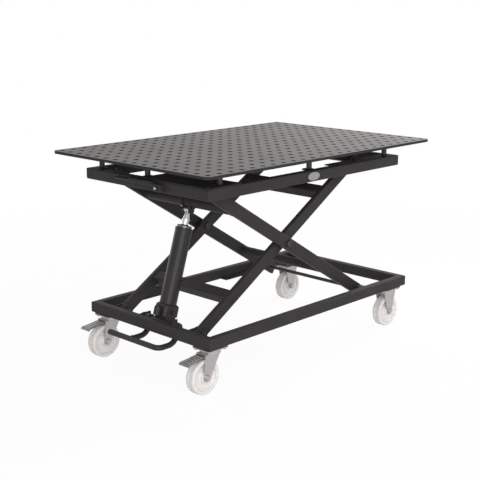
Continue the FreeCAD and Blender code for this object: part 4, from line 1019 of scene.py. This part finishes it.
@dataclass
class ScissorWelds:
    """Weld beads between the arms and the tubes that join them.

    Attributes:
        coat: Material of the beads.
        centre: The centre pivot in X and Z.
        angle_deg: The arms' angle at rest.
        square_tubes: Where the square tubes sit along the inner arms.
        square_half: Half the side of a square tube.
        square_gap: From a square tube's corner to the ends of its beads.
        square_bead: Radius of those beads.
        inner_face: Inner faces of the inner arms, from the centre line.
        outer_face: Inner faces of the outer arms.
        round_tubes: Place along the outer arms and radius of each round tube.
        head_lug_face: Outer faces of the jack's upper lugs.
        head_lug_bead: Radius of the beads there.
    """

    coat: bpy.types.Material
    centre: tuple[float, float] = (-38.5, 436.5)
    angle_deg: float = 31.6
    square_tubes: tuple[float, ...] = (284.0, -302.0)
    square_half: float = 20.0
    square_gap: float = 3.5
    square_bead: float = 2.2
    inner_face: float = 188.0
    outer_face: float = 218.0
    round_tubes: tuple[tuple[float, float], ...] = ((-310.0, 21.2), (278.0, 16.85))
    head_lug_face: float = 20.0
    head_lug_bead: float = 1.8

    def at(self, along: float, off: float, y: float, tilt: int) -> Point:
        """Finds a point beside an arm's axis.

        Args:
            along: Distance along the arm from the centre pivot.
            off: Distance square to the arm.
            y: Distance across the table.
            tilt: 1 for an arm that rises to the rear, -1 for one that falls.

        Returns:
            The point.
        """
        angle = math.radians(self.angle_deg)
        x = self.centre[0] + along * math.cos(angle) - tilt * off * math.sin(angle)
        z = self.centre[1] + tilt * along * math.sin(angle) + off * math.cos(angle)
        return (x, y, z)

    def inner(self) -> None:
        """Builds the beads round the ends of the square tubes."""
        shape = Shape()
        half, short = self.square_half, self.square_half - self.square_gap
        for along in self.square_tubes:
            for side in Side:
                y = side * self.inner_face
                for off in (-half, half):
                    lengthwise = [self.at(along + end, off, y, 1) for end in (-short, short)]
                    upright = [self.at(along + off, end, y, 1) for end in (-short, short)]
                    shape.bead(*lengthwise, self.square_bead)
                    shape.bead(*upright, self.square_bead)
        shape.piece("welds_inner_arms", "inner_arms", "frame_coat", self.coat)

    def outer(self) -> None:
        """Builds the ring beads round the ends of the round tubes and beside the jack's lugs."""
        shape = Shape()
        for along, radius in self.round_tubes:
            for side in Side:
                place = facing(ACROSS, self.at(along, 0, side * self.outer_face, -1))
                shape.ring_bead(radius, place)
        along, radius = self.round_tubes[0]
        for side in Side:
            place = facing(ACROSS, self.at(along, 0, side * self.head_lug_face, -1))
            shape.ring_bead(radius, place, self.head_lug_bead)
        shape.piece("welds_outer_arms", "outer_arms", "frame_coat", self.coat)

    def build(self) -> None:
        """Builds the beads of both pairs of arms."""
        self.inner()
        self.outer()


@dataclass
class Jack:
    """The jack's seals and beads, which sit on its axis.

    Attributes:
        coat: Material of the beads and the rim.
        rubber: Material of the wiper.
        foot: The foot pin in X and Z.
        head: The upper pin in X and Z.
        tube_radius: Outer radius of the cylinder tube.
        block_top: Top of the pump block along the axis.
        tube_top: Top of the cylinder tube along the axis.
        gland_height: Height of the gland above the tube.
        rod_radius: Radius of the piston rod.
        lip: Section of the wiper, as offset from the rod and height over the gland.
        rim: Section of the rolled rim, as offset from the tube and height over its top.
        foot_bead: Radius and ripple of the bead round the tube's foot.
    """

    coat: bpy.types.Material
    rubber: bpy.types.Material
    foot: tuple[float, float] = (-437.0, 172.0)
    head: tuple[float, float] = (-312.03, 568.69)
    tube_radius: float = 31.0
    block_top: float = 73.0
    tube_top: float = 349.91
    gland_height: float = 9.0
    rod_radius: float = 11.5
    lip: Profile = ((0.1, -0.5), (0.1, 2.6), (1.0, 2.9), (2.8, 1.1), (4.2, 0.7), (4.2, -0.5))
    rim: Profile = ((-1.5, -7.0), (0.7, -6.4), (0.9, -5.4), (0.9, -0.6), (0.5, 0.1), (-1.5, 0.1))
    foot_bead: tuple[float, float] = (1.7, 2.8)

    def on_axis(self, along: float) -> Matrix:
        """Places a piece on the jack's axis.

        Args:
            along: Distance from the foot pin.

        Returns:
            The placing matrix.
        """
        foot = Vector((self.foot[0], 0.0, self.foot[1]))
        head = Vector((self.head[0], 0.0, self.head[1]))
        axis = (head - foot).normalized()
        return facing(axis, foot + axis * along)

    def wiper(self) -> None:
        """Builds the rubber wiper in the mouth of the gland."""
        shape = Shape()
        shape.turned(grown(self.lip, self.rod_radius),
                     self.on_axis(self.tube_top + self.gland_height), steps=48, rounding=0.25)
        shape.piece("rod_wiper", "jack_cylinder", "lever_grip", self.rubber)

    def beads(self) -> None:
        """Builds the bead round the foot of the tube and the rolled rim at its top."""
        shape = Shape()
        shape.ring_bead(self.tube_radius, self.on_axis(self.block_top), *self.foot_bead)
        shape.turned(grown(self.rim, self.tube_radius), self.on_axis(self.tube_top),
                     steps=72, rounding=0.3)
        shape.piece("welds_jack", "jack_cylinder", "jack_coat", self.coat)

    def build(self) -> None:
        """Builds the jack's pieces."""
        self.wiper()
        self.beads()


@dataclass
class FootPedal:
    """Weld beads of the foot pedal's far arm and of its eyes.

    Attributes:
        coat: Material of the beads.
        bar_x: The bar's axis along the table.
        bar_z: Its height.
        bar_radius: Radius of the bar and of the arms.
        near_y: The near arm's axis across the table.
        far_y: The far arm's axis.
        eye_x: The arms' axis along the table, under the eyes.
        eye_bottom: Underside of the eyes.
        sink: How far the arm's bead sinks into the bar.
        arm_bead: Radius of the arm's bead.
        eye_bead: Radius of the eyes' beads.
        ripple: Length of one ripple.
    """

    coat: bpy.types.Material
    bar_x: float = -556.0
    bar_z: float = 134.0
    bar_radius: float = 10.0
    near_y: float = -104.0
    far_y: float = 43.5
    eye_x: float = -467.0
    eye_bottom: float = 182.0
    sink: float = 0.6
    arm_bead: float = 1.8
    eye_bead: float = 1.6
    ripple: float = 2.2

    def build(self) -> None:
        """Builds the beads as one piece."""
        shape = Shape()
        joint = facing(ALONG, (self.bar_x + self.bar_radius - self.sink, self.far_y, self.bar_z))
        shape.ring_bead(self.bar_radius, joint, self.arm_bead, self.ripple)
        for y in (self.near_y, self.far_y):
            eye = Matrix.Translation((self.eye_x, y, self.eye_bottom))
            shape.ring_bead(self.bar_radius, eye, self.eye_bead, self.ripple)
        shape.piece("welds_pedal", "pedal", "pedal_coat", self.coat)


@dataclass
class Wheel:
    """A moulded wheel that stands for its plain turned solid.

    Attributes:
        name: The node's and the body's name.
        x: The axle along the table.
        y: The wheel's middle across the table.
        radius: Radius of the tread.
        flank: One half of the section, as radius and height over the middle.
    """

    name: str
    x: float
    y: float
    radius: float = 62.5
    flank: Profile = (
        (6.05, 20.0), (17.0, 20.0), (19.0, 18.2), (20.0, 9.4), (23.0, 7.2), (35.5, 6.7),
        (37.5, 8.4), (40.5, 8.4), (42.5, 6.9), (46.0, 7.2), (48.6, 10.5), (49.8, 16.9),
        (51.4, 18.0), (59.2, 18.0), (61.5, 15.8), (62.5, 10.8), (62.5, 5.4), (61.5, 4.0))

    def build(self) -> None:
        """Builds the wheel and hides its solid."""
        shape = Shape()
        loop = list(self.flank) + [(radius, -height) for radius, height in reversed(self.flank)]
        hub = (self.x, self.y, self.radius)
        shape.turned(loop, facing(ACROSS, hub), steps=96, rounding=0.7)
        nylon = replace(NYLON, name=f"nylon_{self.name}", hub=tuple(part * MM for part in hub))
        made = shape.piece(f"{self.name}_tyre", self.name, "wheel_nylon", nylon.material(),
                           crease_deg=30.0)
        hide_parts(self.name)


@dataclass
class BrakeTread:
    """Pressed ribs and rolled edges on a wheel brake's foot pedal.

    Attributes:
        side: The caster's side.
        zinc: Material of the ribs.
        heel: Start of the tread in X and Z.
        toe: End of the tread in X and Z.
        half_width: Half the tread's width.
        ribs: Ribs across the tread.
        rib_radius: Radius of the ribs and edges.
    """

    side: Side
    zinc: bpy.types.Material
    heel: tuple[float, float] = (-516.0, 138.4)
    toe: tuple[float, float] = (-580.0, 130.1)
    half_width: float = 16.0
    ribs: int = 6
    rib_radius: float = 1.7

    def at(self, share: float, off: float) -> Point:
        """Finds a point on the tread.

        Args:
            share: 0 at the heel, 1 at the toe.
            off: Distance across, from the tread's middle.

        Returns:
            The point.
        """
        x, z = [heel + (toe - heel) * share for heel, toe in zip(self.heel, self.toe)]
        return (x, self.side * CASTER_Y + off, z)

    def build(self) -> None:
        """Builds the ribs and edges as one piece."""
        shape = Shape()
        for count in range(self.ribs):
            share = (count + 0.5) / self.ribs
            shape.rib(self.at(share, -self.half_width), self.at(share, self.half_width),
                      self.rib_radius)
        for edge in (-self.half_width, self.half_width):
            shape.rib(self.at(0.0, edge), self.at(1.0, edge), self.rib_radius)
        name = self.side.label()
        shape.piece(f"brake_tread_{name}", f"brake_{name}", "caster_zinc", self.zinc)


@dataclass
class ReleaseLever:
    """The ribbed sleeve on the hand lever's grip and the domed cap of its pivot bolt.

    Attributes:
        rubber: Material of the sleeve.
        zinc: Material of the cap.
        x: The grip's axis along the table.
        z: Its height.
        start: The grip's near end across the table.
        end: Its far end.
        half_width: Half the grip's width.
        half_height: Half its height.
        grooves: Grooves round the sleeve.
        groove_depth: Their depth, as a share of the sleeve's size.
        dome_start: Size of the sleeve's ends, as a share of the full size.
        dome_slope: How fast that grows from an end, per whole length.
        squareness: Power that rounds the section: 1 is an ellipse, near 0 a rectangle.
        bolt_y: The bolt's axis across the table.
        bolt_z: Its height.
        bolt_face: The face under the bolt's head.
        cap: Section of the cap, as radius and height over the face.
    """

    rubber: bpy.types.Material
    zinc: bpy.types.Material
    x: float = -525.0
    z: float = 698.0
    start: float = -61.0
    end: float = 62.5
    half_width: float = 8.1
    half_height: float = 9.6
    grooves: int = 16
    groove_depth: float = 0.045
    dome_start: float = 0.8
    dome_slope: float = 6.0
    squareness: float = 0.6
    bolt_y: float = -85.0
    bolt_z: float = 687.0
    bolt_face: float = -535.0
    cap: Profile = ((0.01, 0.0), (5.2, 0.0), (5.2, 5.6), (4.4, 7.2), (2.4, 8.2), (0.01, 8.5))

    def sleeve(self) -> None:
        """Builds the rounded, grooved sleeve."""
        length = self.end - self.start
        part = rod(length, 1.0, sides=32, cuts=self.grooves * 4 - 1)
        for vert in part.verts:
            share = vert.co.z / length + 0.5
            wave = 0.5 + 0.5 * math.cos(math.tau * share * self.grooves)
            groove = 1.0 - self.groove_depth * wave
            dome = min(1.0, self.dome_start + min(share, 1.0 - share) * self.dome_slope)
            angle = math.atan2(vert.co.y, vert.co.x)
            square = [math.copysign(abs(part_of) ** self.squareness, part_of)
                      for part_of in (math.cos(angle), math.sin(angle))]
            vert.co.x = square[0] * self.half_height * groove * dome
            vert.co.y = square[1] * self.half_width * groove * dome
        shape = Shape()
        middle = Matrix.Translation((self.x, (self.start + self.end) / 2, self.z))
        turn = Matrix.Rotation(-math.pi / 2, 4, "X") @ Matrix.Rotation(math.pi / 2, 4, "Z")
        shape.take(part, middle @ turn)
        shape.piece("grip_sleeve", "release_lever", "lever_grip", self.rubber, crease_deg=50.0)

    def bolt(self) -> None:
        """Builds the domed cap on the pivot bolt's head."""
        shape = Shape()
        outwards = facing((-1.0, 0.0, 0.0), (self.bolt_face, self.bolt_y, self.bolt_z))
        shape.turned(self.cap, outwards, steps=40, rounding=0.3)
        shape.piece("lever_bolt_head", "table", "bracket_zinc", self.zinc)

    def build(self) -> None:
        """Builds the lever's pieces."""
        self.sleeve()
        self.bolt()


@dataclass
class Badge:
    """The plain oval badge with its raised rim, over the rail's plain oval plate.

    Attributes:
        metal: The badge's material.
        x: Its middle along the table.
        face: The rail's outer face across the table.
        z: Its middle's height.
        half_length: Half its length.
        half_height: Half its height.
        thickness: Its thickness.
        rim: Width of the rim.
        slope: Width of the rim's inner slope.
        sink: Depth of the field inside the rim.
        rounding: Radius of the rim's edges.
    """

    metal: bpy.types.Material
    x: float = 3.5
    face: float = -315.0
    z: float = 688.0
    half_length: float = 30.7
    half_height: float = 15.2
    thickness: float = 2.5
    rim: float = 2.2
    slope: float = 0.5
    sink: float = 0.45
    rounding: float = 0.3

    def rims(self, part: bmesh.types.BMesh) -> list[bmesh.types.BMEdge]:
        """Finds the outer edge of the rim.

        Args:
            part: The badge, drawn flat with its face upwards.

        Returns:
            The edges between the top and the badge's wall.
        """
        def on_top(edge: bmesh.types.BMEdge) -> bool:
            """Whether both ends lie in the top face's plane."""
            return all(math.isclose(vert.co.z, self.thickness, abs_tol=0.01) for vert in edge.verts)

        def at_wall(edge: bmesh.types.BMEdge) -> bool:
            """Whether the edge borders an upright face."""
            return any(abs(face.normal.z) < 0.5 for face in edge.link_faces)

        return [edge for edge in part.edges if on_top(edge) and at_wall(edge)]

    def build(self) -> None:
        """Builds the badge."""
        part = bmesh.new()
        bmesh.ops.create_circle(part, cap_ends=True, segments=72, radius=1.0)
        bmesh.ops.scale(part, vec=(self.half_length, self.half_height, 1.0), verts=part.verts)
        raised = bmesh.ops.extrude_face_region(part, geom=part.faces[:])
        top = [item for item in raised["geom"] if isinstance(item, bmesh.types.BMFace)]
        bmesh.ops.translate(part, vec=(0, 0, self.thickness),
                            verts=list({vert for face in top for vert in face.verts}))
        bmesh.ops.inset_region(part, faces=top, thickness=self.rim, use_even_offset=True)
        bmesh.ops.inset_region(part, faces=top, thickness=self.slope, depth=-self.sink,
                               use_even_offset=True)
        bmesh.ops.bevel(part, geom=self.rims(part), offset=self.rounding, segments=2,
                        profile=0.5, affect="EDGES", material=-1)
        shape = Shape()
        upright = Matrix.Rotation(math.pi / 2, 4, "X")
        shape.take(part, Matrix.Translation((self.x, self.face, self.z)) @ upright)
        shape.piece("badge_plate", "table", "bracket_zinc", self.metal)


# ------------------------------------------------------------------ dressing and stage
@dataclass
class Dressing:
    """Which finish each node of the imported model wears.

    Attributes:
        finishes: The nodes' names by finish.
    """

    finishes: dict[Finish, tuple[str, ...]] = field(default_factory=lambda: {
        FRAME_COAT: (
            "base_rail_near", "base_rail_far", "base_beam_front", "base_beam_rear",
            "base_tracks", "base_lugs", "corner_pads", "inner_arm_near", "inner_arm_far",
            "inner_rung_high", "inner_rung_low", "outer_arm_near", "outer_arm_far",
            "thrust_tube", "tie_tube", "jack_head_lugs", "table_rail_near", "table_rail_far",
            "table_beam_front", "table_beam_rear", "table_tracks", "table_lugs", "post_lugs",
            "lever_bracket", "trim"),
        JACK_COAT: ("jack_cylinder", "pump_block", "pump_fittings"),
        PEDAL_COAT: ("pedal",),
        LEVER_COAT: ("release_lever",),
        TOP_STEEL: ("perforated_plate",),
        POST_STEEL: ("posts",),
        PIN_STEEL: ("base_pins", "pedal_shaft", "centre_pins", "table_pins", "jack_head_pin",
                    "plate_screws", "upper_axle", "lower_axle"),
        ROLLER_STEEL: ("roller_upper_near", "roller_upper_far", "roller_lower_near",
                       "roller_lower_far"),
        BRONZE: ("inner_arm_bushes", "outer_arm_bushes"),
        ZINC: ("caster_top_plates", "caster_bolts", "kingpins", "fixed_forks",
               "swivel_fork_near", "swivel_fork_far"),
        TREAD_ZINC: ("brake_pedal_near", "brake_pedal_far"),
        CHROME: ("jack_rod",),
        GLAND_STEEL: ("jack_gland",),
    })

    def apply(self) -> dict[Finish, bpy.types.Material]:
        """Gives every node its material.

        Returns:
            The material of each finish.
        """
        made = {}
        for finish, names in self.finishes.items():
            made[finish] = finish.material()
            for name in names:
                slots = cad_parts[name].data.materials
                slots.clear()
                slots.append(made[finish])
            LOG.info("%s on %d nodes", finish.name, len(names))
        return made


@dataclass(frozen=True)
class Lamp:
    """A large square lamp that faces the table.

    Attributes:
        name: Its name.
        place: Where it hangs, in metres.
        size: Side of its square in metres.
        watts: Its power.
    """

    name: str
    place: Point
    size: float
    watts: float

    def hang(self, aim: Point) -> None:
        """Hangs the lamp.

        Args:
            aim: The point that it faces, in metres.
        """
        light = bpy.data.lights.new(self.name, "AREA")
        light.shape = "SQUARE"
        light.size = self.size
        light.energy = self.watts
        made = linked(self.name, light)
        made.location = self.place
        made.rotation_euler = (Vector(aim) - Vector(self.place)).to_track_quat("-Z", "Y").to_euler()


@dataclass
class Studio:
    """Floor, world, lamps and camera, in metres.

    Attributes:
        eye: The camera's place.
        look: The direction that it looks in.
        lens: Focal length in millimetres.
        sensor: Width of the sensor in millimetres.
        sight: How far the camera sees.
        floor_half: Half the side of the floor.
        floor_gap: How far the floor lies below the wheels.
        ambient: Strength of the world's light.
        aim: The point that the lamps face.
        lamps: The lamps.
    """

    eye: Point = (-2.6879, -2.55915, 1.29944)
    look: Point = (0.69821, 0.67631, -0.23475)
    lens: float = 75.0
    sensor: float = 36.0
    sight: float = 400.0
    floor_half: float = 60.0
    floor_gap: float = 0.0003
    ambient: float = 0.42
    aim: Point = (0.0, 0.0, 0.45)
    lamps: tuple[Lamp, ...] = (
        Lamp("key", (-2.7, -3.1, 1.5), size=2.6, watts=118.0),
        Lamp("fill", (1.5, -3.8, 1.3), size=2.4, watts=14.0),
        Lamp("rear", (1.25, -0.35, 1.85), size=1.2, watts=27.0),
        Lamp("back", (0.0, 4.3, 1.4), size=2.6, watts=42.0),
        Lamp("end", (4.3, -0.8, 1.4), size=2.4, watts=30.0),
    )

    def floor(self) -> None:
        """Lays a pale floor just under the wheels."""
        part = bmesh.new()
        bmesh.ops.create_grid(part, x_segments=2, y_segments=2, size=self.floor_half)
        bmesh.ops.translate(part, vec=(0, 0, -self.floor_gap), verts=part.verts)
        mesh = bpy.data.meshes.new("floor")
        part.to_mesh(mesh)
        part.free()
        mesh.materials.append(FLOOR.material())
        made = linked("floor", mesh)

    def world(self) -> None:
        """Sets even light all round, and a white background for camera, gloss and glass."""
        world = bpy.data.worlds.new("studio")
        bpy.context.scene.world = world
        graph = Graph(world)
        strength = graph.node("ShaderNodeMapRange", inputs={
            "Value": graph.seen(), "To Min": self.ambient, "To Max": 1.0})
        sky = graph.node("ShaderNodeBackground", inputs={"Color": WHITE, "Strength": strength})
        graph.close(sky, "ShaderNodeOutputWorld")

    def camera(self) -> None:
        """Sets up the camera, without shift or blur."""
        lens = bpy.data.cameras.new("camera")
        lens.lens = self.lens
        lens.sensor_width = self.sensor
        lens.clip_end = self.sight
        made = linked("camera", lens)
        made.location = self.eye
        made.rotation_euler = Vector(self.look).to_track_quat("-Z", "Y").to_euler()
        bpy.context.scene.camera = made

    def build(self) -> None:
        """Sets the whole stage."""
        bpy.context.scene.view_settings.view_transform = "Standard"
        self.floor()
        self.world()
        for lamp in self.lamps:
            lamp.hang(self.aim)
        self.camera()


def main() -> None:
    """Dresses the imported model, adds its fittings and sets the stage."""
    logging.basicConfig(level=logging.INFO, format="%(name)s: %(message)s")
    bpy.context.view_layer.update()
    worn = Dressing().apply()
    coat = worn[FRAME_COAT]
    rubber = GRIP_RUBBER.material()
    FrameWelds(Section.BASE, coat, bottom=165.0, rear=565.0, track_z=181.0,
               lug_faces=(182.7, 213.3, 68.0, 74.0), lug_half=16.0, lug_middle=185.0).build()
    FrameWelds(Section.TABLE, coat, bottom=668.0, rear=485.0, track_z=692.0,
               lug_faces=(212.7, 243.3), lug_half=15.0, lug_middle=688.0).build()
    ScissorWelds(coat).build()
    Jack(worn[JACK_COAT], SEAL_RUBBER.material()).build()
    FootPedal(worn[PEDAL_COAT]).build()
    for side in Side:
        Wheel(f"wheel_front_{side.label()}", FRONT_AXLE_X, side * CASTER_Y).build()
        Wheel(f"wheel_rear_{side.label()}", REAR_AXLE_X, side * CASTER_Y).build()
        BrakeTread(side, worn[ZINC]).build()
    ReleaseLever(rubber, worn[ZINC]).build()
    Badge(BADGE_METAL.material()).build()
    Studio().build()


if __name__ == "__main__":
    main()
